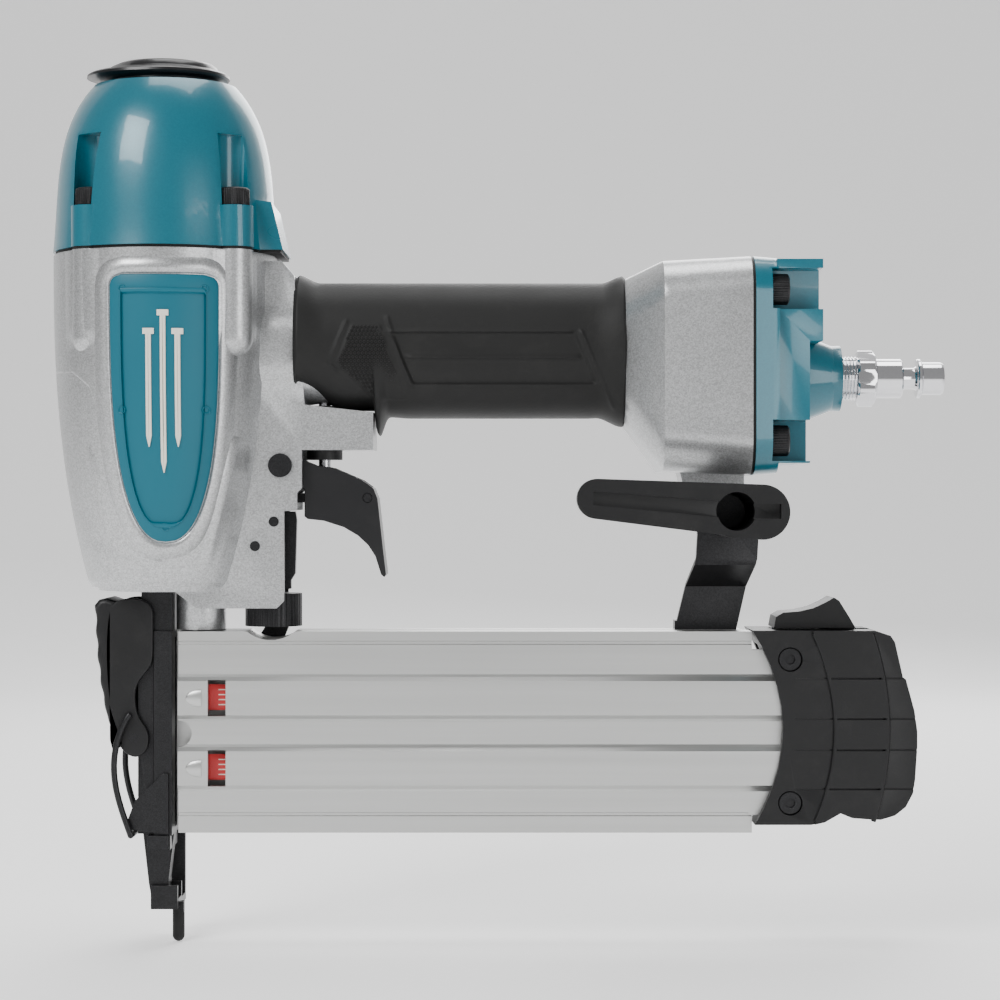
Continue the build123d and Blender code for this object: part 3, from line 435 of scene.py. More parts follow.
def build_brushed() -> bpy.types.NodeTree:
    """Drawn metal: noise pulled out along X, with slow bands of tone.

    Returns:
        The group.
    """
    group, gin, out = new_group(Effect.BRUSHED, {"Scale": 1.0}, ("Height", "Streak", "Patch"))
    along = stretched(group, (12.0, 1500.0, 1500.0))
    broad = stretched(group, (5.0, 260.0, 260.0))
    group.links.new(noise(group, along, gin.outputs["Scale"], 3.0), out.inputs["Height"])
    group.links.new(noise(group, broad, gin.outputs["Scale"], 4.0), out.inputs["Streak"])
    group.links.new(noise(group, stretched(group, (1.0, 1.0, 1.0)), 30.0, 3.0), out.inputs["Patch"])
    return group


def build_dust() -> bpy.types.NodeTree:
    """Dust and rub marks: sparse clouds cut by a threshold.

    Returns:
        The group.
    """
    group, gin, out = new_group(Effect.DUST, {"Amount": 0.5}, ("Mask",))
    vector = stretched(group, (1.0, 1.0, 1.0))
    clouds = noise(group, vector, 90.0, 8.0, 0.7)
    ramp = group.nodes.new("ShaderNodeMapRange")
    ramp.inputs["From Min"].default_value = 0.52
    ramp.inputs["From Max"].default_value = 0.78
    group.links.new(clouds, ramp.inputs["Value"])
    mask = maths(group, "MULTIPLY", ramp.outputs["Result"], gin.outputs["Amount"])
    group.links.new(mask, out.inputs["Mask"])
    return group


GROUPS: dict[Effect, bpy.types.NodeTree] = {
    Effect.CAST: build_cast(),
    Effect.PEBBLE: build_pebble(),
    Effect.BRUSHED: build_brushed(),
    Effect.DUST: build_dust(),
}


@dataclass(frozen=True)
class Finish:
    """One surface finish: two tones, a roughness range, a grain and a little dust.

    Args:
        name: Material name, after the prefix finish_.
        tone: Main colour, linear RGB.
        tone_two: Colour of flakes, streaks or patches.
        rough: Lowest and highest roughness.
        metal: Metallic share.
        effect: Shared texture that gives the grain.
        scale: Scale of the grain.
        bump_um: Depth of the grain in micrometres.
        mix: How strongly the second tone shows.
        coat: Clear coat weight.
        dust: Amount of dust.
        specular: Level of the plain reflection.
    """

    name: str
    tone: tuple[float, float, float]
    tone_two: tuple[float, float, float]
    rough: tuple[float, float]
    metal: float
    effect: Effect
    scale: float = 1.0
    bump_um: float = 20.0
    mix: float = 0.5
    coat: float = 0.0
    dust: float = 0.3
    specular: float = 0.5

    def place_group(self, tree: bpy.types.NodeTree, effect: Effect) -> bpy.types.Node:
        """Adds one shared effect to a material's tree.

        Args:
            tree: The material's tree.
            effect: Which effect.

        Returns:
            The group node.
        """
        node = tree.nodes.new("ShaderNodeGroup")
        node.node_tree = GROUPS[effect]
        return node

    def build(self) -> bpy.types.Material:
        """Makes the material, or returns it if it is there already.

        Returns:
            The node material.
        """
        known = bpy.data.materials.get(f"finish_{self.name}")
        if known is not None:
            return known
        material = bpy.data.materials.new(f"finish_{self.name}")
        material.use_nodes = True
        tree = material.node_tree
        shader = tree.nodes["Principled BSDF"]
        shader.inputs["Metallic"].default_value = self.metal
        shader.inputs["Coat Weight"].default_value = self.coat
        shader.inputs["Coat Roughness"].default_value = 0.06
        shader.inputs["Specular IOR Level"].default_value = self.specular
        grain = self.place_group(tree, self.effect)
        grain.inputs["Scale"].default_value = self.scale
        dust = self.place_group(tree, Effect.DUST)
        dust.inputs["Amount"].default_value = self.dust
        second = {Effect.CAST: "Flake", Effect.PEBBLE: "Patch", Effect.BRUSHED: "Streak"}[self.effect]
        share = maths(tree, "MULTIPLY", grain.outputs[second], self.mix)
        colour = tree.nodes.new("ShaderNodeMix")
        colour.data_type = "RGBA"
        colour.inputs["A"].default_value = (*self.tone, 1.0)
        colour.inputs["B"].default_value = (*self.tone_two, 1.0)
        tree.links.new(share, colour.inputs["Factor"])
        dusty = tree.nodes.new("ShaderNodeMix")
        dusty.data_type = "RGBA"
        dusty.inputs["B"].default_value = (0.32, 0.31, 0.29, 1.0)
        tree.links.new(maths(tree, "MULTIPLY", dust.outputs["Mask"], 0.1), dusty.inputs["Factor"])
        tree.links.new(colour.outputs["Result"], dusty.inputs["A"])
        tree.links.new(dusty.outputs["Result"], shader.inputs["Base Color"])
        spread = self.rough[1] - self.rough[0]
        patch = maths(tree, "MULTIPLY", grain.outputs["Patch"], spread)
        rough = maths(tree, "ADD", patch, self.rough[0])
        dust_rough = maths(tree, "MULTIPLY", dust.outputs["Mask"], 0.25)
        tree.links.new(maths(tree, "ADD", rough, dust_rough), shader.inputs["Roughness"])
        relief = tree.nodes.new("ShaderNodeBump")
        relief.inputs["Strength"].default_value = 1.0
        relief.inputs["Distance"].default_value = self.bump_um * 1e-6
        tree.links.new(grain.outputs["Height"], relief.inputs["Height"])
        tree.links.new(relief.outputs["Normal"], shader.inputs["Normal"])
        return material


CAST_SILVER = Finish("cast_silver", (0.34, 0.343, 0.345), (0.62, 0.63, 0.64), (0.30, 0.42), 0.8, Effect.CAST,
                     1.0, 14.0, 0.7, 0.3, 0.12)
TEAL_PAINT = Finish("teal_paint", (0.0, 0.105, 0.150), (0.0, 0.140, 0.190), (0.24, 0.36), 0.1, Effect.CAST,
                    0.9, 5.0, 0.4, 0.45, 0.04)
TEAL_PAD = Finish("teal_rubber", (0.0, 0.100, 0.148), (0.0, 0.125, 0.175), (0.40, 0.55), 0.0, Effect.PEBBLE,
                  1.6, 9.0, 0.5, 0.0, 0.08, 0.35)
CREAM = Finish("emblem_cream", (0.72, 0.70, 0.62), (0.80, 0.78, 0.70), (0.38, 0.5), 0.0, Effect.PEBBLE,
               1.8, 5.0, 0.5, 0.0, 0.15)
RUBBER = Finish("black_rubber", (0.006, 0.006, 0.006), (0.012, 0.012, 0.0115), (0.48, 0.64), 0.0,
                Effect.PEBBLE, 1.5, 26.0, 0.6, 0.0, 0.2, 0.26)
PLASTIC = Finish("black_plastic", (0.005, 0.005, 0.0055), (0.010, 0.010, 0.0105), (0.36, 0.5), 0.0,
                 Effect.PEBBLE, 1.3, 22.0, 0.5, 0.0, 0.2, 0.3)
GLOSS_BLACK = Finish("trigger_black", (0.005, 0.005, 0.006), (0.010, 0.010, 0.011), (0.24, 0.36), 0.0,
                     Effect.PEBBLE, 1.0, 9.0, 0.5, 0.1, 0.12, 0.4)
BLACK_STEEL = Finish("black_oxide", (0.014, 0.014, 0.015), (0.035, 0.035, 0.037), (0.28, 0.42), 0.6,
                     Effect.CAST, 1.4, 10.0, 0.6, 0.0, 0.15, 0.35)
EXTRUSION = Finish("extrusion", (0.46, 0.462, 0.455), (0.66, 0.665, 0.655), (0.27, 0.40), 0.92,
                   Effect.BRUSHED, 1.0, 6.0, 0.7, 0.0, 0.08)
ALLOY = Finish("piston_alloy", (0.55, 0.55, 0.56), (0.66, 0.66, 0.67), (0.25, 0.38), 1.0, Effect.BRUSHED,
               1.0, 6.0, 0.5, 0.0, 0.1)
STEEL = Finish("bright_steel", (0.52, 0.52, 0.54), (0.62, 0.62, 0.64), (0.18, 0.30), 1.0, Effect.BRUSHED,
               1.2, 5.0, 0.5, 0.0, 0.1)
CHROME = Finish("chrome", (0.72, 0.72, 0.74), (0.80, 0.80, 0.82), (0.05, 0.12), 1.0, Effect.CAST,
                0.5, 1.5, 0.3, 0.0, 0.08)
RED = Finish("indicator_red", (0.52, 0.012, 0.016), (0.60, 0.02, 0.02), (0.35, 0.5), 0.0, Effect.PEBBLE,
             1.2, 8.0, 0.5, 0.1, 0.1)


def dress(obj: bpy.types.Object, finish: Finish) -> bpy.types.Object:
    """Gives an object one finish.

    Args:
        obj: The object.
        finish: The finish.

    Returns:
        The same object.
    """
    obj.data.materials.clear()
    obj.data.materials.append(finish.build())
    LOG.info("%s dressed in %s", obj.name, finish.name)
    return obj


def fit(piece: bpy.types.Object, body: str, finish: Finish, node: Optional[str] = None) -> None:
    """Puts a new piece on its body, dresses it, and lets it stand for a node.

    Args:
        piece: The new piece.
        body: Body that it moves with.
        finish: Its finish.
        node: Node that it replaces, if any.
    """
    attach(piece, body)
    if node is not None:
        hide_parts(node)
    dress(piece, finish)


def dress_node(node: str, finish: Finish) -> None:
    """Gives a frame node a finish through its material slots.

    Args:
        node: The node's name.
        finish: The finish.
    """
    obj = frame["nodes"][node]
    for held in obj.material_slots:
        held.link = "OBJECT"
        held.material = finish.build()
    LOG.info("node %s dressed in %s", node, finish.name)


# ---------------------------------------------------------------- head
@dataclass
class Barrel:
    """The cast head's barrel, a curve of radius against height."""

    top_r: float = 31.0
    foot_r: float = 20.6
    top_z: float = 182.0
    foot_z: float = 88.3

    def radius(self, z: np.ndarray) -> np.ndarray:
        """Radius in mm at height z in mm: the top radius less a power of the way down."""
        share = np.clip((self.top_z - z) / (self.top_z - self.foot_z), 0.0, 1.0)
        return self.top_r - (self.top_r - self.foot_r) * share ** 2.6

    def lift(self, x: np.ndarray, z: np.ndarray, height: np.ndarray, side: int) -> np.ndarray:
        """Points that stand a height off the barrel at (x, z) on one side.

        Args:
            x: Places along X in mm.
            z: Places along Z in mm.
            height: Heights over the skin in mm.
            side: -1 for the near side, 1 for the far side.

        Returns:
            Points in metres.
        """
        r = self.radius(z) + height
        y = side * np.sqrt(np.maximum(r * r - x * x, 1.0))
        return np.stack([x, y, z], axis=-1) * MM


@dataclass
class HeadSkin:
    """Sculpted skin of the cast head: screw columns, creases down to the nose, and two long flutes."""

    barrel: Barrel = field(default_factory=Barrel)
    rows: int = 300
    cols: int = 560
    low_z: float = 89.4
    high_z: float = 181.7
    column_r: float = 7.6
    column_rise: float = 1.2
    column_toe: tuple[float, float] = (155.0, 160.5)
    crease_step: float = 0.85
    flute_rise: float = 0.9
    flute_w: float = 2.0
    wall: float = 1.6

    def columns(self, x: np.ndarray, y: np.ndarray, z: np.ndarray) -> np.ndarray:
        """Half-round columns under the cap screws, each ending in a rounded toe.

        Args:
            x: Places along X in mm.
            y: Places along Y in mm.
            z: Places along Z in mm.

        Returns:
            Heights over the barrel in mm.
        """
        toe = smoothstep(*self.column_toe, z)
        total = np.zeros_like(x)
        for side_x in (-1, 1):
            away = np.hypot(x - CAP_SCREW_X - side_x * CAP_SCREW_DX, np.abs(y) - CAP_SCREW_DY)
            total += np.clip(1 - (away / self.column_r) ** 2, 0, None) * toe * self.column_rise
        return total

    def crease(self, x: np.ndarray, z: np.ndarray) -> np.ndarray:
        """Step down outside a line that bends from the head's front edge down along the badge.

        Args:
            x: Places along X in mm.
            z: Places along Z in mm.

        Returns:
            Heights over the barrel in mm, 0 or below.
        """
        front = np.interp(z, [96.0, 102.4, 110.6, 128.0, 138.1, 144.4, 148.4, 149.6],
                          [3.0, -5.9, -10.3, -14.1, -16.3, -18.5, -23.6, -40.0])
        gap_mm = x - front
        below = 1 - smoothstep(148.0, 150.6, z)
        fade = (1 - smoothstep(-0.1, 1.1, gap_mm)) * smoothstep(-16.0, -1.0, gap_mm)
        return -self.crease_step * below * fade

    def flute(self, x: np.ndarray, z: np.ndarray, top: tuple[float, float],
              low: tuple[float, float]) -> np.ndarray:
        """Long drop-shaped ridge from one point to another, widest at a third of its length.

        Args:
            x: Places along X in mm.
            z: Places along Z in mm.
            top: Upper end, x and z in mm.
            low: Lower end, x and z in mm.

        Returns:
            Heights over the barrel in mm.
        """
        t = np.clip((top[1] - z) / (top[1] - low[1]), 0, 1)
        centre = top[0] + (low[0] - top[0]) * t
        swell = np.sin(math.pi * t ** 0.7) ** 0.8
        half_w = self.flute_w * (0.35 + 0.65 * swell)
        return self.flute_rise * swell * bump(x, centre, half_w)

    def build(self) -> None:
        """Radius is the barrel's plus the reliefs; the inner side runs back a wall's thickness under it."""
        z = np.linspace(self.low_z, self.high_z, self.rows)
        angle = np.arange(self.cols) * TAU / self.cols
        zz = np.repeat(z[:, None], self.cols, axis=1)
        base = self.barrel.radius(zz)
        x, y = base * np.cos(angle)[None, :], base * np.sin(angle)[None, :]
        relief = self.columns(x, y, zz) + self.crease(x, zz)
        relief += self.flute(x, zz, (-18.5, 131.0), (-10.0, 94.0))
        relief += self.flute(x, zz, (21.5, 131.0), (13.0, 94.0))
        aside = np.abs(np.sin(angle))
        relief *= smoothstep(0.15, 0.45, aside)[None, :]
        relief -= 0.5 * (1 - smoothstep(self.low_z, self.low_z + 2.0, zz))
        room = 0.9 + 0.4 * smoothstep(0.4, 0.9, aside)[None, :]
        outer = base + np.minimum(np.maximum(relief, -1.0) + 0.25, room)
        ring = np.stack([outer * np.cos(angle), outer * np.sin(angle), zz], axis=-1)
        under = base - self.wall
        inner = np.stack([under * np.cos(angle), under * np.sin(angle), zz], axis=-1)[::-1]
        loop = np.concatenate([ring, inner, ring[:1]]) * MM
        fit(lathe("head_skin", loop, closed_ends=False, sharp_deg=60.0), "housing", CAST_SILVER)


@dataclass
class SideBadge:
    """Soft shield on the head's side, with a rim, a sunk field, dimples, an emblem and its cast collar."""

    side: int
    node: str
    barrel: Barrel = field(default_factory=Barrel)
    centre_x: float = 3.2
    top_z: float = 174.6
    height: float = 72.4
    half_w: float = 14.6
    corner: float = 3.2
    depth: float = 1.15
    heart_share: float = 0.46
    steps: int = 240

    def outline(self, grow: float = 0.0) -> np.ndarray:
        """Shield outline: half width falls as a power of the way down; square top with round corners.

        Args:
            grow: Offset outwards in mm.

        Returns:
            (steps, 2) array of x and z in mm.
        """
        u = np.linspace(-1.0, 1.0, self.steps, endpoint=False)
        t = np.clip(1.0 - np.abs(u) ** 1.15, 0.0, 1.0)
        half_w = self.half_w + grow
        high = self.height + 2 * grow
        corner = self.corner + grow
        width = half_w * (1.0 - t ** 3.2) ** 0.43
        down = high * t
        inside = np.clip((corner - down) / corner, 0.0, 1.0)
        width = width - corner * (1.0 - np.sqrt(1.0 - inside * inside))
        top_half = half_w - corner
        top_run = np.linspace(top_half, -top_half, self.steps // 4)[1:-1]
        x = np.concatenate([np.sign(u + 1e-9) * width, top_run])
        z = np.concatenate([self.top_z + grow - down, np.full(len(top_run), self.top_z + grow)])
        return np.stack([x + self.centre_x, z], axis=-1)

    def lifted(self, line: np.ndarray, height: float) -> np.ndarray:
        """Points of an outline that stands one height off the barrel."""
        return self.barrel.lift(line[:, 0], line[:, 1], np.full(len(line), height), self.side)

    def bed(self, levels: Sequence[tuple[float, float]], name: str) -> bpy.types.Object:
        """Skin through outlines at given offsets and heights, closed at the middle.

        Args:
            levels: (offset, height) pairs in mm from the outer edge inwards.
            name: The piece's name.

        Returns:
            The new object.
        """
        rings = [self.lifted(self.outline(grow), height) for grow, height in levels]
        last_grow, last_height = levels[-1]
        line = self.outline(last_grow)
        heart = np.array([self.centre_x, self.top_z - self.height * self.heart_share])
        rings += [self.lifted(heart + (line - heart) * share, last_height)
                  for share in np.linspace(0.9, 0.04, 12)]
        return lathe(name, np.stack(rings))

    def build(self) -> None:
        """Builds pad, collar, dimples and emblem."""
        tag = dict(SIDES)[self.side]
        rim = self.depth
        levels = [(0.0, -0.4), (0.0, rim - 0.45), (-0.18, rim - 0.12), (-0.5, rim), (-3.6, rim),
                  (-3.8, rim + 0.3), (-4.3, rim + 0.45), (-4.8, rim + 0.3), (-5.0, rim - 0.1),
                  (-5.3, rim - 0.45)]
        fit(self.bed(levels, f"badge_pad_{tag}"), "housing", TEAL_PAD, self.node)
        levels = [(5.6, -0.5), (5.0, 0.15), (4.0, 0.75), (2.9, 1.15), (1.8, 1.2), (0.9, 0.95), (0.35, 0.5),
                  (0.1, -0.4)]
        fit(self.ring(levels, f"badge_collar_{tag}"), "housing", CAST_SILVER)
        self.dimples(tag)
        self.emblem(tag)

    def ring(self, levels: Sequence[tuple[float, float]], name: str) -> bpy.types.Object:
        """Band through outlines at given offsets and heights, open in the middle, closed below.

        Args:
            levels: (offset, height) pairs in mm from the outer edge inwards.
            name: The piece's name.

        Returns:
            The new object.
        """
        rings = [self.lifted(self.outline(grow), height) for grow, height in [*levels, levels[0]]]
        return lathe(name, np.stack(rings), closed_ends=False)

    def dimples(self, tag: str) -> None:
        """Five round studs in the rim: a ring with a sunk middle.

        Args:
            tag: Which side, for the pieces' names.
        """
        radii = np.array([1.15, 1.1, 0.95, 0.75, 0.62, 0.45, 0.12])
        heights = np.array([-0.2, 0.16, 0.26, 0.16, -0.08, -0.18, -0.2]) + self.depth
        angle = np.arange(20) * TAU / 20
        places = [(-0.76, 0.052), (0.76, 0.052), (-0.78, 0.505), (0.78, 0.505), (0.0, 0.945)]
        for number, (across, down) in enumerate(places):
            cx = self.centre_x + across * self.half_w
            cz = self.top_z - down * self.height
            x = cx + radii[:, None] * np.cos(angle)[None, :]
            z = cz + radii[:, None] * np.sin(angle)[None, :]
            h = np.repeat(heights[:, None], len(angle), axis=1)
            stud = lathe(f"badge_stud_{tag}_{number}", self.barrel.lift(x, z, h, self.side))
            fit(stud, "housing", TEAL_PAD)

    def emblem(self, tag: str) -> None:
        """Generic sign: three upright brads of different lengths, each a bar with a head and a point.

        Args:
            tag: Which side, for the pieces' names.
        """
        edge = 0.86
        half = np.array([0.2, 1.55, 1.55, 0.75, 0.75, 0.12])
        levels = [(1.0, self.depth - 0.8), (1.0, self.depth - 0.12), (edge, self.depth)]
        levels += [(edge * (1 - share), self.depth) for share in np.linspace(0.0, 1.0, 6)[1:-1]]
        for number, (offset, top, low) in enumerate(((-3.9, 160.0, 128.0), (0.0, 165.0, 121.0),
                                                     (3.9, 160.0, 128.0))):
            cx = self.centre_x + offset
            z = np.array([top, top - 0.01, top - 1.6, top - 1.61, low + 3.0, low])
            corners = np.stack([np.concatenate([half, -half[::-1]]), np.concatenate([z, z[::-1]])], axis=-1)
            dense = np.linspace(0, len(corners), 97)[:-1]
            index = np.floor(dense).astype(int)
            part = (dense - index)[:, None]
            line = corners[index] * (1 - part) + corners[(index + 1) % len(corners)] * part
            rings = [self.lifted(np.stack([cx + line[:, 0] * shrink, line[:, 1]], axis=-1), height)
                     for shrink, height in levels]
            fit(lathe(f"badge_emblem_{tag}_{number}", np.stack(rings)), "housing", CREAM)


@dataclass
class KnurledScrews:
    """Socket-head screws with knurled heads."""

    node: str
    axis: str
    places: Sequence[tuple[float, float, float]]
    head_r: float = 4.25
    head_h: float = 5.0
    socket_r: float = 2.15
    tooth_depth: float = 0.16
    teeth: int = 36

    def one(self, number: int, place: tuple[float, float, float]) -> bpy.types.Object:
        """One screw head: radius is the head's less a cosine knurl; the socket is a six-sided well.

        Args:
            number: Which screw.
            place: Centre of the head's seat in mm.

        Returns:
            The new object.
        """
        cols = self.teeth * 6
        angle = np.arange(cols) * TAU / cols
        knurl = self.tooth_depth * (0.5 + 0.5 * np.cos(self.teeth * angle))
        hexagon = self.socket_r / np.cos(hex_sector(angle))
        r, h = self.head_r, self.head_h
        rows = [(0.02, np.full(cols, 2.0)), (0.02, np.full(cols, r - 0.3)), (0.3, r - knurl),
                (h - 0.75, r - knurl), (h - 0.35, np.full(cols, r - 0.1)), (h, np.full(cols, r - 0.6)),
                (h, np.full(cols, 2.9)), (h - 0.25, hexagon), (h - 2.6, hexagon)]
        rings = []
        for height, radius in rows:
            a, b, up = radius * np.cos(angle), radius * np.sin(angle), np.full(cols, height)
            ring = np.stack([a, b, up] if self.axis == "Z" else [up, a, b], axis=-1)
            rings.append((ring + np.array(place)) * MM)
        return lathe(f"{self.node}_head_{number}", np.stack(rings), sharp_deg=30.0)

    def build(self) -> None:
        """Builds each head; the first stands for the node."""
        for number, place in enumerate(self.places):
            fit(self.one(number, place), "housing", BLACK_STEEL, None if number else self.node)


# ---------------------------------------------------------------- grip
@dataclass
class Grip:
    """Rubber sleeve: rounded sections along the handle, with sunk side panels and a thumb patch."""

    x0: float = 37.0
    x1: float = 129.6
    rows: int = 330
    cols: int = 260
    centre_z: float = 156.0
    power: float = 0.86
    side_power: float = 0.6
    end_share: float = 0.80
    stud_pitch: float = 1.05

    def top(self, x: np.ndarray) -> np.ndarray:
        """Top line in mm: level, rising to the head and flaring at the tail."""
        return 174.6 + 2.4 * (1 - smoothstep(37.0, 44.0, x)) + 2.0 * smoothstep(122.5, 129.0, x)

    def low(self, x: np.ndarray) -> np.ndarray:
        """Bottom line: a step over the trigger housing, a small beak behind it, then level.

        Args:
            x: Places along X in mm.

        Returns:
            Heights in mm.
        """
        line = 137.4 + 5.4 * (1 - smoothstep(37.0, 52.0, x)) + 1.3 * plateau(x, 38.0, 59.0, 0.4)
        beak = 5.6 * bump(x, 60.4, 1.5) * smoothstep(58.9, 59.6, x)
        return line - beak - 3.2 * smoothstep(121.0, 129.0, x) - 0.9 * plateau(x, 70.0, 118.0, 14.0)

    def half(self, x: np.ndarray) -> np.ndarray:
        """Half width in mm: slim in the middle, wider at both ends."""
        return 16.4 + 0.9 * (1 - smoothstep(37.0, 46.0, x)) + 1.4 * smoothstep(120.0, 129.0, x)

    def relief(self, x: np.ndarray, z: np.ndarray) -> np.ndarray:
        """Side pattern: a sunk field with a long rib between two rims, and the thumb patch with its ridges.

        Args:
            x: Places along X in mm.
            z: Places along Z in mm.

        Returns:
            Heights over the sleeve's plain side in mm.
        """
        right = 118.4 + 0.42 * (153.0 - z)
        left = 66.6 + 0.45 * (153.0 - z)
        run = smoothstep(0.0, 1.0, x - left) * smoothstep(0.0, 1.4, right - x)
        sunk = run * plateau(z, 146.2, 159.3, 0.9)
        taper = smoothstep(0.5, 3.5, x - left) * smoothstep(0.5, 3.0, right - x)
        rib = bump(z, 153.0, 0.62) * taper
        rim = bump(z, 160.0, 0.5) * plateau(x, left - 2.0, right - 2.0, 2.0)
        rim += bump(z, 145.6, 0.6) * plateau(x, left, right - 1.0, 2.0)
        slant = bump(x, right + 1.2, 0.55) * plateau(z, 139.5, 159.5, 1.5)
        ridge = bump(x, self.patch_right(z) + 2.3, 0.5) * plateau(z, 145.0, 163.8, 1.2)
        ridge += bump(x, self.patch_left(z) - 1.6, 0.5) * plateau(z, 149.5, 162.5, 1.2)
        return (0.75 * rib - 0.8) * sunk + 0.35 * rim + 0.5 * slant + 0.42 * ridge + 0.3 * self.patch(x, z)

    @staticmethod
    def patch_left(z: np.ndarray) -> np.ndarray:
        """Left side of the thumb patch: it leans forward to its waist and back again under it."""
        return 48.6 + 0.42 * np.maximum(z - 151.5, 0.0) + 1.05 * np.maximum(151.5 - z, 0.0)

    @staticmethod
    def patch_right(z: np.ndarray) -> np.ndarray:
        """Right side of the thumb patch, a straight line that leans back."""
        return 61.4 + 0.34 * (162.0 - z)

    def patch(self, x: np.ndarray, z: np.ndarray) -> np.ndarray:
        """Level 1 on the thumb patch, a leaning five-sided field, and 0 round it."""
        inside_x = smoothstep(0.0, 0.7, x - self.patch_left(z)) * smoothstep(0.0, 0.7, self.patch_right(z) - x)
        return inside_x * plateau(z, 141.6, 161.6, 0.5)

    def build(self) -> None:
        """Builds the sleeve; each section is a superellipse whose lower half reaches the bottom line."""
        x = np.linspace(self.x0, self.x1, self.rows)
        angle = np.arange(self.cols) * TAU / self.cols
        cosine, sine = np.cos(angle), np.sin(angle)
        across = np.sign(cosine) * np.abs(cosine) ** self.power
        up = np.sign(sine) * np.abs(sine) ** self.power
        gx = np.repeat(x[:, None], self.cols, axis=1)
        reach = np.where(up[None, :] > 0, (self.top(x) - self.centre_z)[:, None],
                         (self.centre_z - self.low(x))[:, None])
        end = np.minimum(smoothstep(self.x0 - 0.1, self.x0 + 1.2, x),
                         1 - smoothstep(self.x1 - 1.2, self.x1 + 0.1, x))
        shrink = 1.0 - 0.05 * (1.0 - end)[:, None]
        gy = self.half(x)[:, None] * across[None, :] * shrink
        gz = self.centre_z + reach * up[None, :] * shrink
        gy = gy + np.sign(gy) * self.relief(gx, gz) * np.abs(cosine)[None, :] ** self.side_power
        outer = np.stack([gx, gy, gz], axis=-1) * MM
        rings = np.concatenate([self.inset(outer[0])[None], outer, self.inset(outer[-1])[None]])
        fit(lathe("grip_skin", rings, closed_ends=False), "housing", RUBBER, "grip_sleeve")
        self.studs()

    def inset(self, ring: np.ndarray) -> np.ndarray:
        """Ring drawn in towards the handle's axis."""
        centre = np.array([0.0, self.centre_z * MM])
        return np.column_stack([ring[:, 0], centre + (ring[:, 1:] - centre) * self.end_share])

    def studs(self) -> None:
        """Rows of small studs on both thumb patches, each a flat dome of a few faces."""
        zs, xs = np.meshgrid(np.arange(143.6, 162.0, self.stud_pitch), np.arange(50.0, 66.0, self.stud_pitch),
                             indexing="ij")
        xs = xs + 0.52 * (np.arange(xs.shape[0]) % 2)[:, None]
        keep = self.patch(xs, zs) > 0.97
        xs, zs = xs[keep], zs[keep]
        up = np.clip((zs - self.centre_z) / np.where(zs > self.centre_z, 18.6, 17.4), -0.98, 0.98)
        cosine = np.sqrt(1 - np.abs(up) ** (2 / self.power))
        y = self.half(xs) * cosine ** self.power + 0.55 * cosine ** self.side_power
        ring_r, ring_h = np.array([0.42, 0.3, 0.0]), np.array([-0.15, 0.16, 0.2])
        angle = np.arange(6) * TAU / 6
        dx = (ring_r[:, None] * np.cos(angle)[None, :]).ravel()
        dz = (ring_r[:, None] * np.sin(angle)[None, :]).ravel()
        dy = np.repeat(ring_h, 6)
        faces_one = grid_faces(3, 6, True)
        faces = (faces_one[None] + (np.arange(len(xs)) * len(dx))[:, None, None]).reshape(-1, 4)
        for side, tag in SIDES:
            verts = np.stack([xs[:, None] + dx, side * (y[:, None] + dy), zs[:, None] + dz], axis=-1)
            piece = make_piece(f"grip_studs_{tag}", verts.reshape(-1, 3) * MM, faces)
            fit(piece, "housing", RUBBER)


# ---------------------------------------------------------------- air plug and springs
@dataclass
class AirPlug:
    """Chrome plug: one turned profile with threads, a hexagon and the coupler groove."""

    axis_z: float = 147.8
    flat_r: float = 7.0
    corner_r: float = 7.9
    thread: tuple[float, float] = (188.8, 194.2)
    pitch: float = 0.9
    cols: int = 96

    def build(self) -> None:
        """Radius along X from a list of turned steps; the hexagon's radius follows its six flats."""
        thread_x = np.linspace(*self.thread, 90)
        thread_r = 5.95 + 0.22 * np.cos((thread_x - self.thread[0]) * TAU / self.pitch)
        body = [(194.3, 6.0), (194.4, 6.9), (194.9, self.corner_r), (199.0, self.corner_r), (199.6, 6.9),
                (199.7, 5.2), (200.0, 5.5), (206.9, 5.5), (207.3, 5.1), (207.6, 3.2), (208.2, 3.0),
                (210.8, 3.0), (211.4, 3.4), (211.5, 5.2), (211.8, 5.5), (212.4, 5.5), (212.7, 5.1),
                (212.8, 4.4), (213.0, 4.6), (218.2, 4.6), (218.9, 4.2), (219.1, 3.6), (219.1, 2.3),
                (218.6, 2.1), (200.0, 2.1)]
        angle = np.arange(self.cols) * TAU / self.cols
        flats = self.flat_r / np.cos(hex_sector(angle))
        rows = [(x, np.full(self.cols, r)) for x, r in zip(thread_x, thread_r)]
        rows += [(x, np.minimum(flats, r)) for x, r in body]
        rings = [np.stack([np.full(self.cols, x), r * np.cos(angle), self.axis_z + r * np.sin(angle)], axis=-1)
                 for x, r in rows]
        plug = lathe("air_plug_turned", np.stack(rings) * MM, sharp_deg=28.0)
        fit(plug, "housing", CHROME, "air_plug")


@dataclass
class Spring:
    """Coil spring: a helix of round wire between a free end and a fixed one."""

    node: str
    squeezed_by: str
    start: tuple[float, float, float]
    end: tuple[float, float, float]
    coil_r: float
    wire_r: float
    turns: float

    def build(self) -> None:
        """Helix about the line from start to end: angle grows with the way along it."""
        t = np.linspace(0.0, 1.0, int(self.turns * 20))
        start, end = np.array(self.start), np.array(self.end)
        line = start + (end - start) * t[:, None]
        angle = TAU * self.turns * t
        along = (end - start) / np.linalg.norm(end - start)
        first = np.cross(along, np.array([0.0, 1.0, 0.0]))
        second = np.cross(along, first)
        path = line + self.coil_r * (np.cos(angle)[:, None] * first + np.sin(angle)[:, None] * second)
        coil = tube(f"{self.node}_coil", path * MM, self.wire_r * MM, 8)
        fit(coil, "housing", STEEL, self.node)
        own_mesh(coil)


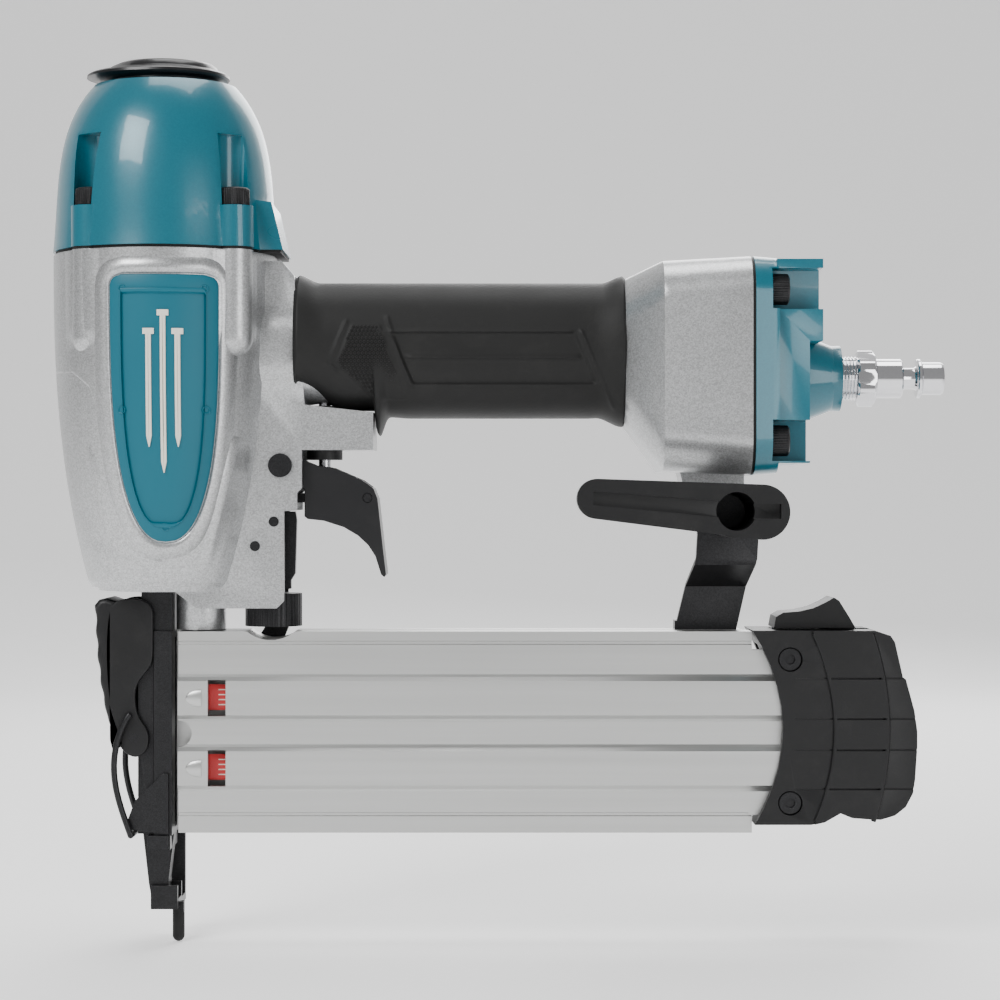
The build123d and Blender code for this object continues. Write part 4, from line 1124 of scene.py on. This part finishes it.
@dataclass
class Deflector:
    """Exhaust cover: a turned disc with a rolled rim and a raised middle, drawn out to a lip over the port."""

    floor_z: float = 230.0
    rim_r: float = 18.0
    lip_x: float = -22.1
    lip_drop: float = 0.9
    rib_r: float = 0.45
    cols: int = 160

    def build(self) -> None:
        """Radius follows a turned profile; towards -X it stretches to the lip by a squared cosine."""
        profile = [(6.0, 0.0), (14.6, 0.0), (15.4, 0.2), (15.6, 0.9), (16.2, 1.3), (17.4, 1.5), (18.0, 2.1),
                   (17.9, 2.8), (17.2, 3.4), (15.9, 3.7), (14.9, 4.2), (14.4, 5.2), (13.4, 5.9), (11.8, 6.2),
                   (10.9, 5.9), (10.2, 5.4), (9.0, 5.2), (5.6, 5.2), (5.1, 5.4)]
        angle = np.arange(self.cols) * TAU / self.cols
        pull = np.clip(-np.cos(angle), 0, 1) ** 2
        rings = []
        for radius, height in profile:
            share = smoothstep(13.0, 17.0, radius) * smoothstep(0.9, 2.0, height)
            reach = radius + pull * share * (-self.lip_x - self.rim_r)
            drop = pull * self.lip_drop * smoothstep(12.0, 18.0, radius) * smoothstep(2.5, 5.0, height)
            z = self.floor_z + height - drop
            rings.append(np.stack([reach * np.cos(angle), reach * np.sin(angle), z], axis=-1))
        cover = lathe("exhaust_cover", np.stack(rings) * MM)
        fit(cover, "deflector", GLOSS_BLACK, "exhaust_deflector")
        for number, turn in enumerate((-0.5, 0.0, 0.5)):
            out = np.linspace(11.0, 16.4, 8)
            path = np.stack([out * math.cos(math.pi + turn), out * math.sin(math.pi + turn),
                             self.floor_z + np.linspace(6.1, 3.6, 8)], axis=-1)
            rib = tube(f"exhaust_rib_{number}", path * MM, self.rib_r * MM, 10)
            fit(rib, "deflector", GLOSS_BLACK)


@dataclass
class NoseLever:
    """Cam lever of the nose door: a ridged finger grip between two cheeks, and its bowed wire bail."""

    half: float = 9.25
    inner: float = 7.35
    eye: tuple[float, float] = (-9.0, 53.6)
    foot: tuple[float, float] = (-8.4, 20.4)
    leg_y: float = 10.8
    bow: float = 4.3
    wire_r: float = 0.88

    def grip(self) -> None:
        """Finger grip in front of the door, its ridges a slow wave along the front."""
        z = np.linspace(84.2, 44.4, 60)
        front = np.interp(z, [41.0, 46.0, 52.0, 58.0, 66.0, 72.0, 80.0, 84.6],
                          [-10.4, -12.9, -15.0, -16.2, -17.3, -17.9, -18.3, -18.5])
        front = front - 0.42 * (0.5 + 0.5 * np.cos((z - 84.0) * TAU / 7.1)) * smoothstep(50.0, 60.0, z)
        back = np.full(30, -12.8)
        z_back = np.linspace(47.0, 85.4, 30)
        line = np.concatenate([np.stack([front, z], axis=-1), np.stack([back, z_back], axis=-1),
                               np.array([[-15.5, 86.3], [-17.6, 85.8]])])
        fit(plate("nose_lever_grip", line, -self.half, self.half, 1.6), "cam_lever", PLASTIC)

    def cheeks(self) -> None:
        """Two cheeks beside the door, round at the cam's pin and notched behind the wire's eye."""
        corners = [(-14.0, 86.3), (-15.8, 78.0), (-15.6, 62.0), (-13.6, 50.9), (-11.8, 44.4), (-7.6, 41.4),
                   (-3.9, 43.6), (-3.5, 49.0), (-6.4, 53.0), (-7.4, 56.4), (-7.4, 62.0), (-3.6, 66.6),
                   (-2.5, 68.6), (-2.4, 77.0), (-2.5, 86.0)]
        outline = rounded_line(corners)
        for side, tag in SIDES:
            y0, y1 = sorted((side * self.inner, side * self.half))
            cheek = plate(f"nose_lever_cheek_{tag}", outline, y0, y1, 0.45)
            fit(cheek, "cam_lever", PLASTIC, "cam_lever" if side == NEAR else None)

    def bail(self) -> None:
        """Bail: each leg bows forward as half a sine wave between the eye and the foot bar."""
        t = np.linspace(0.0, 1.0, 48)
        x = self.eye[0] + (self.foot[0] - self.eye[0]) * t - self.bow * np.sin(math.pi * t ** 0.85)
        z = self.eye[1] + (self.foot[1] - self.eye[1]) * t
        eye_y = np.array([7.6, 9.6])
        half_x = np.concatenate([np.full(2, self.eye[0]), x])
        half_y = np.concatenate([eye_y, np.full(48, self.leg_y)])
        half_z = np.concatenate([np.full(2, self.eye[1]), z])
        bar_y = np.linspace(-self.leg_y, self.leg_y, 12)[1:-1]
        bar = np.stack([np.full(10, self.foot[0]), bar_y, np.full(10, self.foot[1])], axis=-1)
        near, far = (np.stack([half_x, side * half_y, half_z], axis=-1) for side in (NEAR, FAR))
        wire = tube("bail_wire", np.concatenate([near, bar, far[::-1]]) * MM, self.wire_r * MM, 14)
        fit(wire, "wire_bail", BLACK_STEEL, "wire_bail")

    def build(self) -> None:
        """Builds grip, cheeks and wire."""
        self.cheeks()
        self.grip()
        self.bail()


@dataclass
class BootRibs:
    """Raised ribs on the rear cover's two faces, two bowed ones across each."""

    rib_y: float = 13.31
    rib_r: float = 0.7
    foot_z: float = 24.6
    top_z: float = 76.6
    middle_z: float = 50.0
    half_h: float = 27.0

    def rib(self, name: str, ends_x: float, middle_x: float, side: int) -> None:
        """Rib along a parabola in X over height, half sunk in the face.

        Args:
            name: The piece's name.
            ends_x: X of the parabola's ends in mm.
            middle_x: X of its middle in mm.
            side: -1 for the near face, 1 for the far face.
        """
        z = np.linspace(self.foot_z, self.top_z, 40)
        bow = 1 - ((z - self.middle_z) / self.half_h) ** 2
        path = np.stack([ends_x + (middle_x - ends_x) * bow, np.full(40, side * self.rib_y), z], axis=-1)
        fit(tube(name, path * MM, self.rib_r * MM), "magazine_cover", PLASTIC)

    def build(self) -> None:
        """Builds two ribs on each face."""
        for side, tag in SIDES:
            self.rib(f"boot_rib_middle_{tag}", 181.0, 187.2, side)
            self.rib(f"boot_rib_back_{tag}", 197.0, 201.6, side)


# ---------------------------------------------------------------- magazine
@dataclass
class Magazine:
    """Small pieces at the magazine's two windows: louvres, and red flags with ticks."""

    face_y: float = -11.0
    window_z: tuple[float, ...] = (39.05, 58.55)
    flag_x: float = 15.0
    flag_y: float = -6.85

    def louvre(self, number: int, z: float) -> None:
        """Pressed D-shaped louvre in front of a window: a half dome that ends at a straight edge.

        Args:
            number: Which window.
            z: The window's middle in mm.
        """
        angle = np.linspace(0.0, math.pi, 25)
        level = np.linspace(0.0, 1.0, 9)
        half, length, rise = 2.5, 4.4, 0.75
        r = np.cos(level * math.pi / 2)[:, None]
        x = 11.2 - length * r * np.sin(angle)[None, :]
        zz = z + half * r * np.cos(angle)[None, :]
        y = np.repeat(self.face_y + 0.1 - rise * np.sin(level * math.pi / 2)[:, None], len(angle), axis=1)
        back = np.stack([x[0], np.full(25, self.face_y + 0.6), zz[0]], axis=-1)[None]
        rings = np.concatenate([back, np.stack([x, y, zz], axis=-1)]) * MM
        fit(lathe(f"magazine_louvre_{number}", rings), "magazine_cover", EXTRUSION)

    def flag(self, number: int, z: float) -> None:
        """Red flag behind a window, a plate of superellipse outline with four raised ticks.

        Args:
            number: Which window.
            z: The window's middle in mm.
        """
        angle = np.arange(48) * TAU / 48
        x = 3.2 * np.sign(np.cos(angle)) * np.abs(np.cos(angle)) ** 0.35
        zz = 3.6 * np.sign(np.sin(angle)) * np.abs(np.sin(angle)) ** 0.35
        face = self.flag_y - 0.1
        rings = [np.stack([self.flag_x + x * shrink, np.full(48, y), z + zz * shrink], axis=-1)
                 for shrink, y in ((1.0, self.flag_y + 0.3), (1.0, self.flag_y), (0.95, face), (0.5, face))]
        fit(lathe(f"pusher_flag_{number}", np.stack(rings) * MM), "pusher", RED)
        for tick in range(4):
            height = z - 2.1 + 1.4 * tick
            path = np.stack([np.linspace(15.6, 17.6, 6), np.full(6, face), np.full(6, height)], axis=-1)
            fit(tube(f"pusher_tick_{number}_{tick}", path * MM, 0.16 * MM, 8), "pusher", CREAM)

    def build(self) -> None:
        """Builds the pieces of both windows."""
        for number, middle in enumerate(self.window_z):
            self.louvre(number, middle)
            self.flag(number, middle)


# ---------------------------------------------------------------- frame parts
@dataclass
class Shells:
    """Frame nodes that keep their shape, some with softened edges."""

    soft: tuple[tuple[str, Finish, str, float], ...] = (
        ("housing", CAST_SILVER, "cast_silver", 0.5),
        ("head_cap", TEAL_PAINT, "teal_paint", 0.6),
        ("end_cap", TEAL_PAINT, "teal_paint", 0.9),
        ("rear_cover", PLASTIC, "black_plastic", 0.5),
        ("latch_lever", PLASTIC, "black_plastic", 0.5),
        ("belt_hook", PLASTIC, "black_plastic", 1.3),
        ("trigger", GLOSS_BLACK, "trigger_black", 0.5),
        ("hanger_strap", BLACK_STEEL, "black_oxide", 0.4),
        ("nose_body", BLACK_STEEL, "black_oxide", 0.25),
        ("nose_door", BLACK_STEEL, "black_oxide", 0.3),
        ("contact_foot", BLACK_STEEL, "black_oxide", 0.25),
        ("contact_arm_upper", BLACK_STEEL, "black_oxide", 0.2),
    )
    plain: tuple[tuple[Finish, tuple[str, ...]], ...] = (
        (RUBBER, ("tip_pad", "bumper", "cap_gasket", "tail_gasket", "piston_ring")),
        (PLASTIC, ("trigger_valve",)),
        (RED, ("pusher",)),
        (BLACK_STEEL, ("trigger_pin", "housing_pins", "nose_screws", "door_pin", "cam_pin", "lever_pin",
                       "depth_dial", "hook_bolt", "deflector_screw", "rear_cover_screws", "latch_pin",
                       "magazine_screw", "trigger_lever")),
        (EXTRUSION, ("magazine_cover", "magazine_rail", "cylinder_sleeve")),
        (ALLOY, ("piston", "head_valve")),
        (STEEL, ("driver_blade", "valve_stem")),
    )

    def build(self) -> None:
        """Dresses every frame node that is shown."""
        for node, finish, slot, width in self.soft:
            dress(softened(node, width), finish)
        for finish, nodes in self.plain:
            for node in nodes:
                dress_node(node, finish)


# ---------------------------------------------------------------- studio
@dataclass
class Studio:
    """Pale floor that curves up behind the tool, soft lamps and the camera."""

    distance: float = 0.72
    view_width: float = 0.282
    centre_x: float = 0.0942
    centre_z: float = 0.1136
    floor_z: float = -0.0108

    def floor(self) -> None:
        """Sheet swept along Y: level in front, then a quarter round, then upright."""
        level = np.stack([np.linspace(-3.0, 0.9, 12), np.full(12, self.floor_z)], axis=-1)
        turn = np.linspace(0.0, math.pi / 2, 24)[1:]
        arc = np.stack([0.9 + 1.0 * np.sin(turn), self.floor_z + 1.0 * (1 - np.cos(turn))], axis=-1)
        wall = np.stack([np.full(6, 1.9), np.linspace(self.floor_z + 1.2, 4.0, 6)], axis=-1)
        profile = np.concatenate([level, arc, wall])
        x = np.linspace(-4.0, 4.0, 9)
        verts = np.column_stack([np.repeat(x, len(profile)), np.tile(profile, (9, 1))])
        mesh = bpy.data.meshes.new("studio_floor")
        mesh.from_pydata(verts.tolist(), [], grid_faces(9, len(profile), False).tolist())
        mesh.shade_smooth()
        sheet = bpy.data.objects.new("studio_floor", mesh)
        bpy.context.scene.collection.objects.link(sheet)
        paper = bpy.data.materials.new("studio_paper")
        paper.use_nodes = True
        shader = paper.node_tree.nodes["Principled BSDF"]
        shader.inputs["Base Color"].default_value = (0.92, 0.92, 0.92, 1.0)
        shader.inputs["Roughness"].default_value = 0.9
        shader.inputs["Emission Color"].default_value = (1.0, 1.0, 1.0, 1.0)
        shader.inputs["Emission Strength"].default_value = 0.35
        mesh.materials.append(paper)

    def lamp(self, name: str, place: tuple[float, float, float], size: float, power: float) -> None:
        """Square area lamp aimed at the tool's middle.

        Args:
            name: The lamp's name.
            place: Where it stands, in metres.
            size: Its side in metres.
            power: Its power in watts.
        """
        data = bpy.data.lights.new(name, "AREA")
        data.energy = power
        data.size = size
        lamp = bpy.data.objects.new(name, data)
        lamp.location = place
        aim = Vector((self.centre_x, 0.0, self.centre_z)) - Vector(place)
        lamp.rotation_euler = aim.to_track_quat("-Z", "Y").to_euler()
        bpy.context.scene.collection.objects.link(lamp)

    def build(self) -> None:
        """Builds the floor, the world, the lamps and the camera."""
        self.floor()
        world = bpy.data.worlds.new("studio_world")
        world.use_nodes = True
        world.node_tree.nodes["Background"].inputs["Color"].default_value = (1.0, 1.0, 1.0, 1.0)
        world.node_tree.nodes["Background"].inputs["Strength"].default_value = 0.36
        bpy.context.scene.world = world
        self.lamp("key_lamp", (-0.45, -0.75, 0.75), 0.45, 9.5)
        self.lamp("fill_lamp", (0.75, -0.9, 0.2), 0.5, 3.4)
        self.lamp("top_lamp", (0.1, 0.15, 1.1), 0.6, 6.5)
        self.lamp("back_lamp", (0.3, 0.85, 0.6), 0.6, 6.0)
        data = bpy.data.cameras.new("studio_camera")
        data.sensor_width = 36.0
        data.lens = 36.0 * self.distance / self.view_width
        data.clip_start = 0.02
        data.clip_end = 30.0
        camera = bpy.data.objects.new("studio_camera", data)
        camera.location = (self.centre_x, -self.distance, self.centre_z)
        camera.rotation_euler = (math.pi / 2, 0.0, 0.0)
        bpy.context.scene.collection.objects.link(camera)
        bpy.context.scene.camera = camera


def main() -> None:
    """Builds every class in order."""
    logging.basicConfig(level=logging.INFO, format="%(name)s: %(message)s")
    Studio().build()
    Shells().build()
    HeadSkin().build()
    Deflector().build()
    NoseLever().build()
    BootRibs().build()
    SideBadge(NEAR, "left_badge").build()
    SideBadge(FAR, "right_badge").build()
    Grip().build()
    AirPlug().build()
    cap_places = [(CAP_SCREW_X + across * CAP_SCREW_DX, side * CAP_SCREW_DY, CAP_SCREW_Z)
                  for across in (-1, 1) for side in (NEAR, FAR)]
    KnurledScrews("cap_screws", "Z", cap_places).build()
    end_places = [(END_SCREW_X, side * END_SCREW_DY, END_SCREW_Z + up * END_SCREW_DZ)
                  for side in (NEAR, FAR) for up in (-1, 1)]
    KnurledScrews("end_cap_screws", "X", end_places).build()
    Spring("head_valve_spring", "head_valve_slide", (0, 0, 195.2), (0, 0, 203.2), 13.0, 0.7, 4.0).build()
    Spring("pusher_spring", "pusher_slide", (46.6, -4.4, 48.5), (156.7, -4.4, 48.5), 2.2, 0.3, 44.0).build()
    Magazine().build()


if __name__ == "__main__":
    main()
